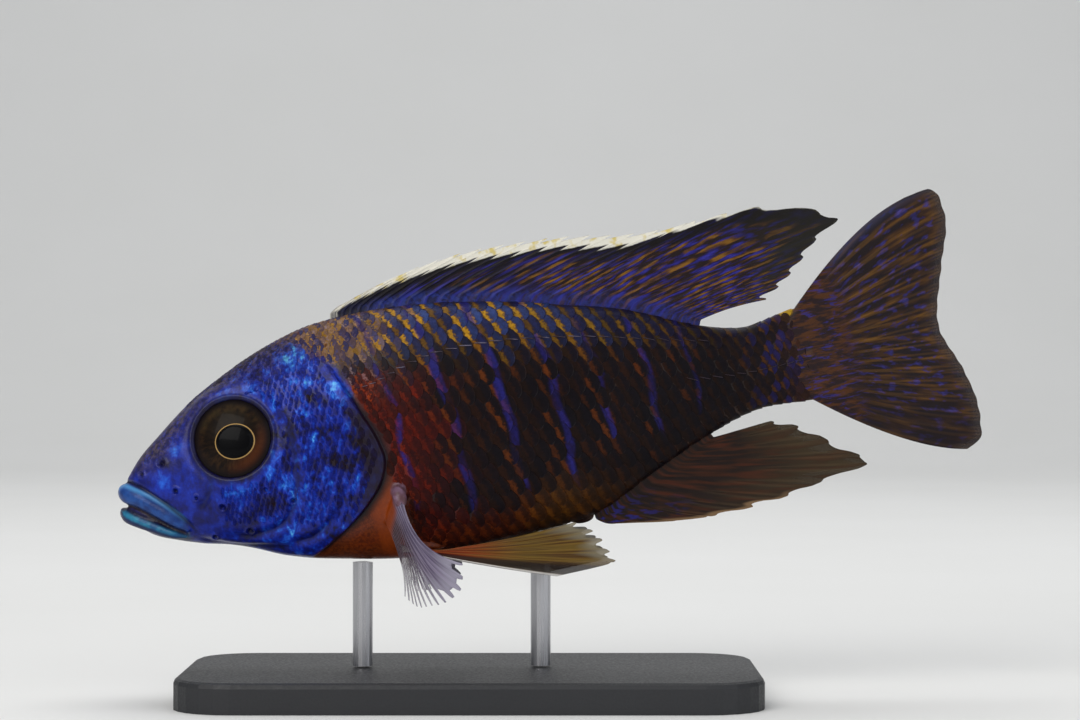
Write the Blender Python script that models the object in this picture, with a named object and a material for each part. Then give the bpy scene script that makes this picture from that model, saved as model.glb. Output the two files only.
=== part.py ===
"""A male peacock cichlid, life size, swimming nose down and held on a small display stand.

The straight, level fish is described in millimetres: s runs back from the snout tip, side is
positive to the fish's left, and z is up. place() bends and pitches it into its pose, in metres.
The head points to -X and the left flank faces -Y.
"""

import math

import bmesh
import bpy
from mathutils import Vector

MM = 0.001
GAP = 0.3  # between nodes that touch

# Pose
TOTAL_LENGTH = 131.0
NOSE_DOWN = math.radians(11.5)
TAIL_SWING = 10.0  # how far the tail's end stands behind the head's middle plane
SWING_FROM = 35.0  # the body is straight ahead of this station

# Body sections: station, back, belly, half width, height of the widest level
BODY = (
    (1.2, 1.1, -4.5, 2.5, -1.6),
    (4.0, 4.3, -6.9, 4.3, -2.0),
    (8.0, 7.5, -8.7, 5.7, -2.0),
    (13.0, 11.1, -10.3, 6.9, -1.5),
    (19.0, 14.3, -12.2, 7.7, -1.0),
    (25.0, 16.9, -14.7, 8.3, -1.0),
    (32.0, 19.1, -16.6, 8.9, -1.0),
    (40.0, 19.7, -18.15, 9.0, -0.5),
    (50.0, 19.15, -18.8, 8.6, 0.0),
    (60.0, 17.55, -18.2, 7.7, 0.0),
    (70.0, 15.1, -17.3, 6.4, 0.2),
    (80.0, 12.3, -12.9, 4.8, 0.3),
    (90.0, 7.9, -8.85, 3.5, 0.4),
    (97.0, 6.1, -7.0, 2.8, 0.0),
    (105.0, 7.3, -7.3, 1.3, 0.0),
)
# Section shape: station, power above the widest level, power below it. Under 1 is fuller than an ellipse.
FULLNESS = (
    (1.2, 0.85, 0.75),
    (19.0, 0.8, 0.72),
    (32.0, 0.92, 0.8),
    (50.0, 1.05, 0.88),
    (105.0, 1.0, 1.0),
)
ROUND = 40  # points round a section
HEAD_RINGS = 24
TORSO_RINGS = 22
STALK_RINGS = 6
STALK_FROM = 92.0
STALK_TO = 105.0

# Rear edge of the head and gill cover: degrees round from the back, station
GILL_EDGE = (
    (0.0, 33.5),
    (40.0, 34.3),
    (58.0, 36.3),
    (74.0, 38.4),
    (88.0, 40.2),
    (98.0, 40.6),
    (108.0, 39.4),
    (120.0, 36.5),
    (132.0, 33.2),
    (145.0, 30.0),
    (160.0, 27.6),
    (180.0, 26.5),
)
COVER_PROUD = 0.55  # how far the gill cover's edge stands out over the flank
COVER_RAMP = 9.0  # length over which the cover rises to its edge
GILL_STEP = 0.35  # how far the flank dips in under the edge
GILL_RAMP = 3.5

# Mouth. Each lip: degrees round from the front, station, side, height, half height, half thickness
UPPER_LIP = (
    (0.0, 1.15, 0.0, -0.1, 1.4, 1.15),
    (30.0, 2.0, 2.25, -0.65, 1.4, 1.1),
    (55.0, 4.6, 3.75, -2.3, 1.3, 1.0),
    (75.0, 7.3, 4.6, -4.7, 1.2, 0.95),
    (90.0, 9.9, 4.95, -7.5, 0.75, 0.65),
)
LOWER_LIP = (
    (0.0, 0.75, 0.0, -3.1, 1.15, 1.05),
    (30.0, 1.6, 2.1, -3.85, 1.1, 1.0),
    (55.0, 4.3, 3.6, -5.5, 0.95, 0.9),
    (75.0, 7.1, 4.5, -7.1, 0.8, 0.8),
    (90.0, 9.6, 4.9, -8.1, 0.6, 0.6),
)
LIP_STEPS = 26
LIP_SIDES = 8

# Pits in the skin of the head: station, height, radius. The first is the nostril, the rest are canal pores.
PITS = (
    (7.9, 3.3, 0.5),
    (4.6, 2.2, 0.4),
    (9.3, -1.2, 0.4),
    (15.7, -4.9, 0.45),
    (19.0, -9.2, 0.5),
    (26.2, -6.0, 0.45),
)

# Eye: its middle, its visible disc and how it is set
EYE_S = 19.2
EYE_Z = 4.75
EYE_SIDE = 6.7
EYE_RADIUS = 5.8
EYE_DOME = 1.7
EYE_DEPTH = 2.7
EYE_LOOKS_UP = 0.2
EYE_LOOKS_FORWARD = 0.12
PUPIL = 0.5  # share of the eye's radius
PUPIL_BULGE = 0.35
EYE_SEGMENTS = 20

# Fins. Each edge row: share of the way through the rays, station, height. Roots: share, station.
MEMBRANE = 0.5
DORSAL_RAYS = 26
DORSAL_ROOTS = ((0.0, 36.4), (0.6, 75.0), (1.0, 90.6))
DORSAL_EDGE = (
    (0.0, 39.4, 21.2),
    (0.08, 45.4, 23.2),
    (0.2, 55.1, 25.0),
    (0.4, 71.5, 24.8),
    (0.6, 88.5, 22.8),
    (0.68, 97.6, 23.2),
    (0.74, 105.4, 22.8),
    (0.78, 114.0, 20.1),
    (0.84, 110.2, 16.4),
    (0.92, 105.4, 12.2),
    (1.0, 101.0, 9.2),
)
ANAL_RAYS = 12
ANAL_ROOTS = ((0.0, 69.4), (0.3, 75.0), (1.0, 89.0))
ANAL_EDGE = (
    (0.0, 73.0, -19.2),
    (0.12, 78.6, -20.4),
    (0.27, 86.5, -21.2),
    (0.42, 96.0, -20.9),
    (0.56, 104.2, -19.5),
    (0.66, 111.8, -18.1),
    (0.76, 108.2, -15.2),
    (0.88, 102.9, -10.9),
    (1.0, 98.2, -8.9),
)
CAUDAL_RAYS = 17
CAUDAL_ROOT_HALF = 7.0
CAUDAL_EDGE = (
    (0.0, 129.2, 21.0),
    (0.08, 131.0, 18.3),
    (0.3, 129.1, 9.0),
    (0.5, 127.2, 0.2),
    (0.7, 129.3, -7.4),
    (0.92, 130.0, -16.2),
    (1.0, 127.8, -19.2),
)
CAUDAL_BOW = (5.0, 3.3)  # how far the uppermost and the lowest ray bow outwards
PELVIC_RAYS = 6
PELVIC_ROOT = ((0.0, 40.6, 150.0), (1.0, 45.4, 158.0))  # share, station, degrees round
PELVIC_EDGE = (  # share, station, side, height
    (0.0, 62.0, 6.6, -24.9),
    (0.2, 70.3, 6.0, -24.5),
    (0.45, 69.6, 5.4, -22.2),
    (0.7, 69.0, 5.0, -20.1),
    (1.0, 66.0, 4.6, -17.6),
)
PECTORAL_RAYS = 13
PECTORAL_ROOT = ((0.0, 42.0, 113.0), (1.0, 39.2, 131.0))
PECTORAL_EDGE = (  # share, station, side, height
    (0.0, 48.7, 15.6, -19.6),
    (0.15, 47.9, 17.0, -22.9),
    (0.32, 45.5, 17.5, -24.4),
    (0.52, 43.2, 17.4, -24.5),
    (0.72, 41.5, 16.8, -24.4),
    (0.87, 40.6, 15.8, -23.6),
    (1.0, 39.8, 14.6, -22.6),
)
PECTORAL_BEND = ((0.0, 41.3, 13.4, -16.0), (1.0, 40.8, 12.4, -18.0))  # where the rays curve

# Stand
BASE_LONG = 86.0
BASE_DEEP = 46.0
BASE_THICK = 4.5
BASE_TOP = -26.0  # under the snout tip
BASE_MIDDLE = 53.0  # behind the snout tip
BASE_CORNER = 9.0
ROD_RADIUS = 1.5
ROD_STATIONS = (34.0, 61.0)
ROD_SIDES = 16

COLOURS = {
    "head": ((0.02, 0.06, 0.42), 0.35),
    "body": ((0.22, 0.06, 0.03), 0.4),
    "fin": ((0.09, 0.06, 0.16), 0.45),
    "pale_fin": ((0.33, 0.28, 0.3), 0.45),
    "eye": ((0.05, 0.03, 0.02), 0.1),
    "base": ((0.03, 0.03, 0.035), 0.45),
    "rod": ((0.6, 0.6, 0.62), 0.3),
}


def smooth(table, x):
    """Values at x of the smooth curve through a table's rows (x, value, ...)."""
    last = len(table) - 1
    x = min(max(x, table[0][0]), table[last][0])
    i = max(k for k in range(last) if table[k][0] <= x)
    a, b = table[i], table[i + 1]
    span = b[0] - a[0]
    t = (x - a[0]) / span
    values = []
    for column in range(1, len(a)):
        rise_a = slope(table, i, column) * span
        rise_b = slope(table, i + 1, column) * span
        values.append(
            a[column] * (1 + 2 * t) * (1 - t) ** 2
            + b[column] * t * t * (3 - 2 * t)
            + rise_a * t * (1 - t) ** 2
            - rise_b * t * t * (1 - t)
        )
    return values


def slope(table, i, column):
    """Slope of the curve through a table at row i, from its neighbours."""
    low, high = max(i - 1, 0), min(i + 1, len(table) - 1)
    if low == i or high == i:
        return (table[high][column] - table[low][column]) / (table[high][0] - table[low][0])
    before = table[i][0] - table[low][0]
    after = table[high][0] - table[i][0]
    slope_before = (table[i][column] - table[low][column]) / before
    slope_after = (table[high][column] - table[i][column]) / after
    return (slope_before * after + slope_after * before) / (before + after)


def ease(t):
    """0 to 1 with level ends."""
    t = min(max(t, 0.0), 1.0)
    return t * t * (3 - 2 * t)


def place(s, side, z):
    """A point of the straight, level fish as posed: bent in plan, then pitched nose down."""
    back = max(0.0, s - SWING_FROM)
    reach = TOTAL_LENGTH - SWING_FROM
    turned = math.atan(2 * TAIL_SWING * back / reach**2)
    x = s + side * math.sin(turned)
    y = TAIL_SWING * (back / reach) ** 2 - side * math.cos(turned)
    return MM * Vector(
        (
            x * math.cos(NOSE_DOWN) - z * math.sin(NOSE_DOWN),
            y,
            x * math.sin(NOSE_DOWN) + z * math.cos(NOSE_DOWN),
        )
    )


def skin(s, turn, lift=0.0):
    """(s, side, z) on the body at a station, turn degrees from the back round the left, lifted off it."""
    back, belly, half, level = smooth(BODY, s)
    upper, lower = smooth(FULLNESS, s)
    up, out = math.cos(math.radians(turn)), math.sin(math.radians(turn))
    power = upper if up > 0 else lower
    side = half * math.copysign(abs(out) ** power, out) if abs(out) > 1e-9 else 0.0
    z = level + up * (back - level if up > 0 else level - belly)
    # the lift follows the section's own ellipse
    away = Vector((out / half, up / (back - level if up > 0 else level - belly))).normalized()
    return s, side + lift * away[0], z + lift * away[1]


def gill_edge(turn):
    """Station of the head's rear edge, turn degrees round from the back on either side."""
    round_to = abs((turn + 180.0) % 360.0 - 180.0)
    return smooth(GILL_EDGE, round_to)[0]


def on_cover(turn):
    """1 on the flanks, where the gill cover is free, and 0 along the back and breast."""
    round_to = abs((turn + 180.0) % 360.0 - 180.0)
    return ease((round_to - 45.0) / 20.0) * ease((172.0 - round_to) / 20.0)


def solid(name, points, faces, colour):
    """A closed mesh object with outward faces."""
    mesh = bpy.data.meshes.new(name)
    mesh.from_pydata(points, [], faces)
    shape = bmesh.new()
    shape.from_mesh(mesh)
    bmesh.ops.recalc_face_normals(shape, faces=shape.faces[:])
    shape.to_mesh(mesh)
    shape.free()
    mesh.shade_smooth()
    mesh.set_sharp_from_angle(angle=math.radians(40))
    obj = bpy.data.objects.new(name, mesh)
    bpy.context.scene.collection.objects.link(obj)
    obj.data.materials.append(finish(colour))
    return obj


def finish(colour):
    """The material of one colour, made once."""
    found = bpy.data.materials.get(colour)
    if found:
        return found
    rgb, roughness = COLOURS[colour]
    made = bpy.data.materials.new(colour)
    made.use_nodes = True
    shader = made.node_tree.nodes["Principled BSDF"]
    shader.inputs["Base Color"].default_value = (*rgb, 1.0)
    shader.inputs["Roughness"].default_value = roughness
    shader.inputs["Metallic"].default_value = 1.0 if colour == "rod" else 0.0
    return made


def loft(name, rings, colour):
    """A solid through closed rings of (s, side, z), its two ends closed by fans."""
    count = len(rings[0])
    points = [place(*p) for ring in rings for p in ring]
    faces = []
    for r in range(len(rings) - 1):
        for k in range(count):
            a, b = r * count + k, r * count + (k + 1) % count
            faces.append((a, b, b + count, a + count))
    for end, start in ((rings[0], 0), (rings[-1], (len(rings) - 1) * count)):
        middle = [sum(p[axis] for p in end) / count for axis in range(3)]
        points.append(place(*middle))
        for k in range(count):
            faces.append((start + k, start + (k + 1) % count, len(points) - 1))
    return solid(name, points, faces, colour)


def turns():
    """Degrees of the points round a section."""
    return [360.0 * k / ROUND for k in range(ROUND)]


def head_core():
    """The head without lips: it ends at the gill cover's edge, which stands out over the flank."""
    start = BODY[0][0]
    rings = []
    for r in range(HEAD_RINGS + 1):
        share = (r / HEAD_RINGS) ** 1.15
        ring = []
        for turn in turns():
            edge = gill_edge(turn)
            s = start + (edge - start) * share
            proud = COVER_PROUD * on_cover(turn) * ease((s - edge + COVER_RAMP) / COVER_RAMP)
            ring.append(skin(s, turn, proud))
        rings.append(ring)
    rings.append([skin(gill_edge(turn), turn, -GILL_STEP) for turn in turns()])
    return loft("head", rings, "head")


def torso():
    """From the gill opening to the end of the dorsal and anal fins."""
    rings = []
    for r in range(TORSO_RINGS + 1):
        share = (r / TORSO_RINGS) ** 1.1
        ring = []
        for turn in turns():
            edge = gill_edge(turn) + GAP
            s = edge + (STALK_FROM - GAP / 2 - edge) * share
            dip = GILL_STEP * ease(1 - (s - edge) / GILL_RAMP)
            ring.append(skin(s, turn, -dip))
        rings.append(ring)
    return loft("torso", rings, "body")


def tail_stalk():
    """The stalk that carries the tail fin."""
    start = STALK_FROM + GAP / 2
    stations = [start + (STALK_TO - start) * r / STALK_RINGS for r in range(STALK_RINGS + 1)]
    return loft("tail_stalk", [[skin(s, turn) for turn in turns()] for s in stations], "body")


def lip(name, table):
    """A lip as a tapering oval tube from one corner of the mouth round the front to the other."""
    path = []
    for k in range(LIP_STEPS + 1):
        angle = 90.0 * (2 * k / LIP_STEPS - 1)
        s, side, z, tall, thick = smooth(table, abs(angle))
        path.append((Vector((s, math.copysign(side, angle), z)), tall, thick))
    rings = []
    for k, (middle, tall, thick) in enumerate(path):
        ahead = path[min(k + 1, LIP_STEPS)][0] - path[max(k - 1, 0)][0]
        out = ahead.cross(Vector((0, 0, 1))).normalized()
        if out.dot(middle - Vector((12.0, 0.0, -3.0))) < 0:
            out = -out
        up = out.cross(ahead).normalized()
        ring = []
        for j in range(LIP_SIDES):
            angle = 2 * math.pi * j / LIP_SIDES
            ring.append(tuple(middle + out * thick * math.cos(angle) + up * tall * math.sin(angle)))
        rings.append(ring)
    return loft(name, rings, "head")


def side_axis(side, s, up=0.0, forward=0.0):
    """Unit vector out of a flank, posed, for a feature at station s."""
    here = place(s, 0.0, 0.0)
    out = place(s, side, 0.0) - here
    rise = place(s, 0.0, 1.0) - here
    ahead = place(s - 1.0, 0.0, 0.0) - here
    return (out.normalized() + up * rise.normalized() + forward * ahead.normalized()).normalized()


def turned(name, profile, segments, colour):
    """A solid of revolution about Z from (radius, height) points that start and end on the axis."""
    points = [Vector((0, 0, profile[0][1])) * MM]
    for radius, height in profile[1:-1]:
        for k in range(segments):
            angle = 2 * math.pi * k / segments
            points.append(Vector((radius * math.cos(angle), radius * math.sin(angle), height)) * MM)
    points.append(Vector((0, 0, profile[-1][1])) * MM)
    faces = []
    for k in range(segments):
        after = (k + 1) % segments
        faces.append((0, 1 + k, 1 + after))
        for r in range(len(profile) - 3):
            a = 1 + r * segments
            faces.append((a + k, a + segments + k, a + segments + after, a + after))
        last = 1 + (len(profile) - 3) * segments
        faces.append((last + k, len(points) - 1, last + after))
    return solid(name, points, faces, colour)


def aim(obj, middle, axis):
    """Stands a turned solid at a point with its +Z along an axis."""
    obj.location = middle
    obj.rotation_mode = "QUATERNION"
    obj.rotation_quaternion = axis.to_track_quat("Z", "Y")
    return obj


def eye_profile():
    """Half section of an eye: a domed front with a bulging pupil, and a shallow back."""
    profile = [(0.0, EYE_DOME + PUPIL_BULGE)]
    for share in (0.3, PUPIL - 0.04, PUPIL + 0.04, 0.75, 0.92):
        bulge = PUPIL_BULGE * ease((PUPIL + 0.04 - share) / 0.1)
        profile.append((EYE_RADIUS * share, EYE_DOME * (1 - share**2.2) + bulge))
    profile += [(EYE_RADIUS, 0.0), (EYE_RADIUS * 0.97, -0.8), (EYE_RADIUS * 0.7, -EYE_DEPTH)]
    return profile + [(0.0, -EYE_DEPTH)]


def eye_seat(side):
    """Middle and outward axis of one eye."""
    axis = side_axis(side, EYE_S, EYE_LOOKS_UP, EYE_LOOKS_FORWARD)
    return place(EYE_S, side * EYE_SIDE, EYE_Z), axis


def eye(side):
    """An eyeball of its own in the socket."""
    name = "eye_left" if side > 0 else "eye_right"
    return aim(turned(name, eye_profile(), EYE_SEGMENTS, "eye"), *eye_seat(side))


def socket_cutter(side):
    """What a socket removes: the eye's own back, a gap larger all round, open to the front."""
    wide, deep, front = EYE_RADIUS + GAP, EYE_DEPTH + GAP, 6.0
    profile = [(0.0, front), (wide + 0.4, front), (wide, 0.0), (wide, -0.8)]
    profile += [(EYE_RADIUS * 0.7 + 1.5 * GAP, -deep), (0.0, -deep)]
    return aim(turned("socket", profile, EYE_SEGMENTS, "head"), *eye_seat(side))


def turn_at(s, z):
    """Degrees round from the back at which the body's skin at a station has height z."""
    back, belly, _, level = smooth(BODY, s)
    up = (z - level) / (back - level if z > level else level - belly)
    return math.degrees(math.acos(min(max(up, -1.0), 1.0)))


def pit_cutter(side, s, z, radius):
    """A short peg that leaves a blind round pit in the skin."""
    turn = turn_at(s, z)
    _, out, height = skin(s, turn)
    axis = side_axis(side, s, up=0.35 * math.cos(math.radians(turn)), forward=0.25 * ease((16.0 - s) / 8.0))
    profile = [(0.0, 1.5), (radius, 1.5), (radius, -0.5), (radius * 0.5, -0.9), (0.0, -0.9)]
    return aim(turned("pit", profile, 8, "head"), place(s, side * out, height), axis)


def gather(name, objects):
    """A collection of helper objects for one Boolean."""
    group = bpy.data.collections.new(name)
    bpy.context.scene.collection.children.link(group)
    for obj in objects:
        bpy.context.scene.collection.objects.unlink(obj)
        group.objects.link(obj)
    return group


def combine(obj, others, operation, solver="EXACT"):
    """Applies one Boolean of obj with a collection of solids, and removes them."""
    group = gather(operation.lower(), others)
    modifier = obj.modifiers.new(operation.lower(), "BOOLEAN")
    modifier.operation = operation
    modifier.operand_type = "COLLECTION"
    modifier.collection = group
    modifier.solver = solver
    graph = bpy.context.evaluated_depsgraph_get()
    made = bpy.data.meshes.new_from_object(obj.evaluated_get(graph))
    obj.modifiers.clear()
    obj.data = made
    for other in others:
        bpy.data.objects.remove(other)
    bpy.data.collections.remove(group)
    keep_largest(obj)


def keep_largest(obj):
    """Drops loose scraps and sealed hollows: only the shell with the most faces stays."""
    shape = bmesh.new()
    shape.from_mesh(obj.data)
    left = set(shape.verts)
    shells = []
    while left:
        shell, front = set(), [left.pop()]
        while front:
            vert = front.pop()
            shell.add(vert)
            for edge in vert.link_edges:
                other = edge.other_vert(vert)
                if other in left:
                    left.remove(other)
                    front.append(other)
        shells.append(shell)
    keep = max(shells, key=len)
    bmesh.ops.delete(shape, geom=[v for v in shape.verts if v not in keep], context="VERTS")
    shape.to_mesh(obj.data)
    shape.free()
    obj.data.shade_smooth()
    obj.data.set_sharp_from_angle(angle=math.radians(40))


def head():
    """The head with its lips, eye sockets, nostrils and canal pores."""
    made = head_core()
    combine(made, [lip("upper_lip", UPPER_LIP), lip("lower_lip", LOWER_LIP)], "UNION")
    cutters = [socket_cutter(side) for side in (1, -1)]
    cutters += [pit_cutter(side, *pit) for side in (1, -1) for pit in PITS]
    combine(made, cutters, "DIFFERENCE")
    return made


def bowed(root, bend, tip, t):
    """A point of the quadratic curve from root to tip, drawn towards bend."""
    pairs = zip(root, bend, tip)
    return tuple(a * (1 - t) ** 2 + 2 * b * t * (1 - t) + c * t * t for a, b, c in pairs)


def fin(name, sheet, rays, rows, colour, notch=0.6, ridge=0.95, root=1.5, root_share=0.16):
    """A fin as one thin solid: each ray is a ridge on both faces, and ends past the membrane.

    sheet(u, t) gives the middle surface, u through the rays and t from root to tip. notch is how
    far the membrane stops short of the ray tips, ridge the thickness over a ray, root that at the
    root, over root_share of the way.
    """
    columns = []
    step = 1.0 / (rays - 1)
    for k in range(rays):
        for offset in (-0.24, 0.0, 0.24):
            if 0.0 <= (k + offset) * step <= 1.0 + 1e-9:
                columns.append(((k + offset) * step, offset == 0.0))
    points = []
    for u, on_ray in columns:
        length = (Vector(sheet(u, 1.0)) - Vector(sheet(u, 0.0))).length
        reach = 1.0 if on_ray else 1.0 - notch / max(length, 4 * notch)
        for r in range(rows + 1):
            t = reach * r / rows
            middle = place(*sheet(u, t))
            across = place(*sheet(min(u + 0.01, 1.0), t)) - place(*sheet(max(u - 0.01, 0.0), t))
            along = place(*sheet(u, min(t + 0.02, 1.0))) - place(*sheet(u, max(t - 0.02, 0.0)))
            normal = across.cross(along).normalized()
            flesh = root * max(0.0, 1 - t / root_share) ** 1.5
            thick = max(MEMBRANE, flesh, ridge * (1 - 0.45 * t) if on_ray else 0.0)
            points.append(middle + normal * thick * MM / 2)
            points.append(middle - normal * thick * MM / 2)
    faces = []
    deep = 2 * (rows + 1)

    def at(c, r, face):
        return c * deep + 2 * r + face

    for c in range(len(columns) - 1):
        for r in range(rows):
            for face in (0, 1):
                a, b = at(c, r, face), at(c + 1, r, face)
                d, e = at(c, r + 1, face), at(c + 1, r + 1, face)
                faces += [(a, b, e), (a, e, d)] if columns[c][1] else [(a, b, d), (b, e, d)]
        for r in (0, rows):
            faces.append((at(c, r, 0), at(c + 1, r, 0), at(c + 1, r, 1), at(c, r, 1)))
    for c in (0, len(columns) - 1):
        for r in range(rows):
            faces.append((at(c, r, 0), at(c, r + 1, 0), at(c, r + 1, 1), at(c, r, 1)))
    return solid(name, points, faces, colour)


def dorsal_sheet(u, t):
    """Spines and rays that lean far back along the body, with a slight wave to the soft part."""
    s = smooth(DORSAL_ROOTS, u)[0]
    root = (s, 0.0, smooth(BODY, s)[0] + GAP + 0.1)
    edge_s, edge_z = smooth(DORSAL_EDGE, u)
    sway = 1.6 * ease((u - 0.55) / 0.3)
    tip = (edge_s, sway, edge_z)
    bend = (0.5 * (s + edge_s) - 1.0, 0.2 * sway, 0.5 * (root[2] + edge_z) + 0.6 * (1 - u))
    return bowed(root, bend, tip, t)


def anal_sheet(u, t):
    """Three spines and the soft rays, swept back to a point under the tail stalk."""
    s = smooth(ANAL_ROOTS, u)[0]
    root = (s, 0.0, smooth(BODY, s)[1] - GAP - 0.15)
    edge_s, edge_z = smooth(ANAL_EDGE, u)
    sway = 1.2 * ease((u - 0.3) / 0.5)
    tip = (edge_s, sway, edge_z)
    sag = 1.1 * (1 - u)
    bend = (0.5 * (s + edge_s), 0.2 * sway, 0.5 * (root[2] + edge_z) - sag)
    return bowed(root, bend, tip, t)


def caudal_sheet(u, t):
    """The spread tail fin, its outer rays bowed outwards and its face in a slow wave."""
    edge_s, edge_z = smooth(CAUDAL_EDGE, u)
    lean = 1 - 2 * u
    root = (STALK_TO + GAP + 0.1, 0.0, CAUDAL_ROOT_HALF * lean)
    wave = 0.9 * math.sin(3.0 * math.pi * u)
    tip = (edge_s, wave, edge_z)
    bow = CAUDAL_BOW[0 if lean > 0 else 1] * lean * abs(lean)
    bend = (0.4 * root[0] + 0.6 * edge_s, 0.2 * wave, 0.4 * root[2] + 0.6 * edge_z + bow)
    return bowed(root, bend, tip, t)


def pelvic_sheet(side):
    """One pelvic fin, folded back along the belly with its spine lowest."""

    def sheet(u, t):
        s, turn = smooth(PELVIC_ROOT, u)
        _, out, z = skin(s, turn, GAP + 0.5)
        edge_s, edge_side, edge_z = smooth(PELVIC_EDGE, u)
        root = (s, side * out, z)
        tip = (edge_s, side * edge_side, edge_z)
        bend = (0.5 * (s + edge_s), side * (0.5 * (out + edge_side) + 0.5), 0.5 * (z + edge_z) - 0.5)
        return bowed(root, bend, tip, t)

    return sheet


def pectoral_sheet(side):
    """One pectoral fin, sculling down and out from behind the gill cover."""

    def sheet(u, t):
        s, turn = smooth(PECTORAL_ROOT, u)
        _, out, z = skin(s, turn, GAP + 0.35)
        bend_s, bend_side, bend_z = smooth(PECTORAL_BEND, u)
        edge_s, edge_side, edge_z = smooth(PECTORAL_EDGE, u)
        root = (s, side * out, z)
        bend = (bend_s, side * bend_side, bend_z)
        return bowed(root, bend, (edge_s, side * edge_side, edge_z), t)

    return sheet


def underside(x, y):
    """Height of the body's lower surface over a point of the plan, in metres."""
    s = x / MM
    for _ in range(8):
        side = (place(s, 0.0, 0.0)[1] - y) / MM
        half = smooth(BODY, s)[2]
        power = smooth(FULLNESS, s)[1]
        out = (abs(side) / half) ** (1 / power)
        point = Vector(skin(s, 180.0 - math.degrees(math.asin(out))))
        here = place(s, side, point[2])
        s += (x - here[0]) / MM / math.cos(NOSE_DOWN)
    return here[2]


def rod(name, station):
    """An upright rod from the base to the belly, its top cut to the belly's slope."""
    foot = place(station, 0.0, smooth(BODY, station)[1])
    low = (BASE_TOP + GAP) * MM
    points = []
    for k in range(ROD_SIDES):
        angle = 2 * math.pi * k / ROD_SIDES
        x = foot[0] + ROD_RADIUS * MM * math.cos(angle)
        y = foot[1] + ROD_RADIUS * MM * math.sin(angle)
        points.append(Vector((x, y, low)))
        points.append(Vector((x, y, underside(x, y) - GAP * MM)))
    count = ROD_SIDES
    points.append(Vector((foot[0], foot[1], low)))
    points.append(Vector((foot[0], foot[1], underside(foot[0], foot[1]) - GAP * MM)))
    faces = []
    for k in range(count):
        a, b = 2 * k, 2 * ((k + 1) % count)
        faces += [(a, b, b + 1, a + 1), (a, b, 2 * count), (a + 1, b + 1, 2 * count + 1)]
    return solid(name, points, faces, "rod")


def base():
    """A flat plate with round corners and an eased upper edge."""
    made = bmesh.new()
    corners = []
    inset_x, inset_y = BASE_LONG / 2 - BASE_CORNER, BASE_DEEP / 2 - BASE_CORNER
    for quarter in range(4):
        for k in range(7):
            angle = math.radians(90 * quarter + 15 * k)
            x = math.copysign(inset_x, math.cos(math.radians(90 * quarter + 45)))
            y = math.copysign(inset_y, math.sin(math.radians(90 * quarter + 45)))
            corners.append((x + BASE_CORNER * math.cos(angle), y + BASE_CORNER * math.sin(angle)))
    face = made.faces.new([made.verts.new((x * MM, y * MM, 0.0)) for x, y in corners])
    lifted = bmesh.ops.extrude_face_region(made, geom=[face])["geom"]
    top = [v for v in lifted if isinstance(v, bmesh.types.BMVert)]
    bmesh.ops.translate(made, verts=top, vec=(0, 0, BASE_THICK * MM))
    rim = [e for e in made.edges if all(v in top for v in e.verts)]
    bmesh.ops.bevel(made, geom=rim, offset=0.8 * MM, segments=2, profile=0.5, affect="EDGES")
    bmesh.ops.recalc_face_normals(made, faces=made.faces[:])
    mesh = bpy.data.meshes.new("stand_base")
    made.to_mesh(mesh)
    made.free()
    mesh.shade_smooth()
    mesh.set_sharp_from_angle(angle=math.radians(40))
    obj = bpy.data.objects.new("stand_base", mesh)
    bpy.context.scene.collection.objects.link(obj)
    obj.data.materials.append(finish("base"))
    obj.location = Vector((BASE_MIDDLE, 0.0, BASE_TOP - BASE_THICK)) * MM
    return obj


def stand_on_origin(objects):
    """Carries everything on one empty so that the origin is under the middle, on the floor."""
    bpy.context.view_layer.update()
    corners = [o.matrix_world @ v.co for o in objects for v in o.data.vertices]
    low = [min(c[axis] for c in corners) for axis in range(3)]
    high = [max(c[axis] for c in corners) for axis in range(3)]
    carrier = bpy.data.objects.new("peacock_cichlid", None)
    bpy.context.scene.collection.objects.link(carrier)
    for obj in objects:
        obj.parent = carrier
    carrier.location = (-(low[0] + high[0]) / 2, -(low[1] + high[1]) / 2, -low[2])


def main():
    for obj in list(bpy.data.objects):
        bpy.data.objects.remove(obj)
    objects = [head(), torso(), tail_stalk(), eye(1), eye(-1)]
    objects.append(fin("dorsal_fin", dorsal_sheet, DORSAL_RAYS, 6, "fin", notch=0.9))
    objects.append(fin("anal_fin", anal_sheet, ANAL_RAYS, 6, "fin", notch=0.8))
    objects.append(fin("caudal_fin", caudal_sheet, CAUDAL_RAYS, 6, "fin", notch=0.5, root=2.2))
    for side, word in ((1, "left"), (-1, "right")):
        sheets = (("pelvic", pelvic_sheet(side), PELVIC_RAYS), ("pectoral", pectoral_sheet(side), PECTORAL_RAYS))
        for kind, sheet, rays in sheets:
            objects.append(fin(f"{kind}_fin_{word}", sheet, rays, 6, "pale_fin", notch=1.0, root=1.1))
    objects.append(base())
    objects.append(rod("stand_rod_front", ROD_STATIONS[0]))
    objects.append(rod("stand_rod_rear", ROD_STATIONS[1]))
    stand_on_origin(objects)


main()
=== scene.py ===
import math

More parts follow.
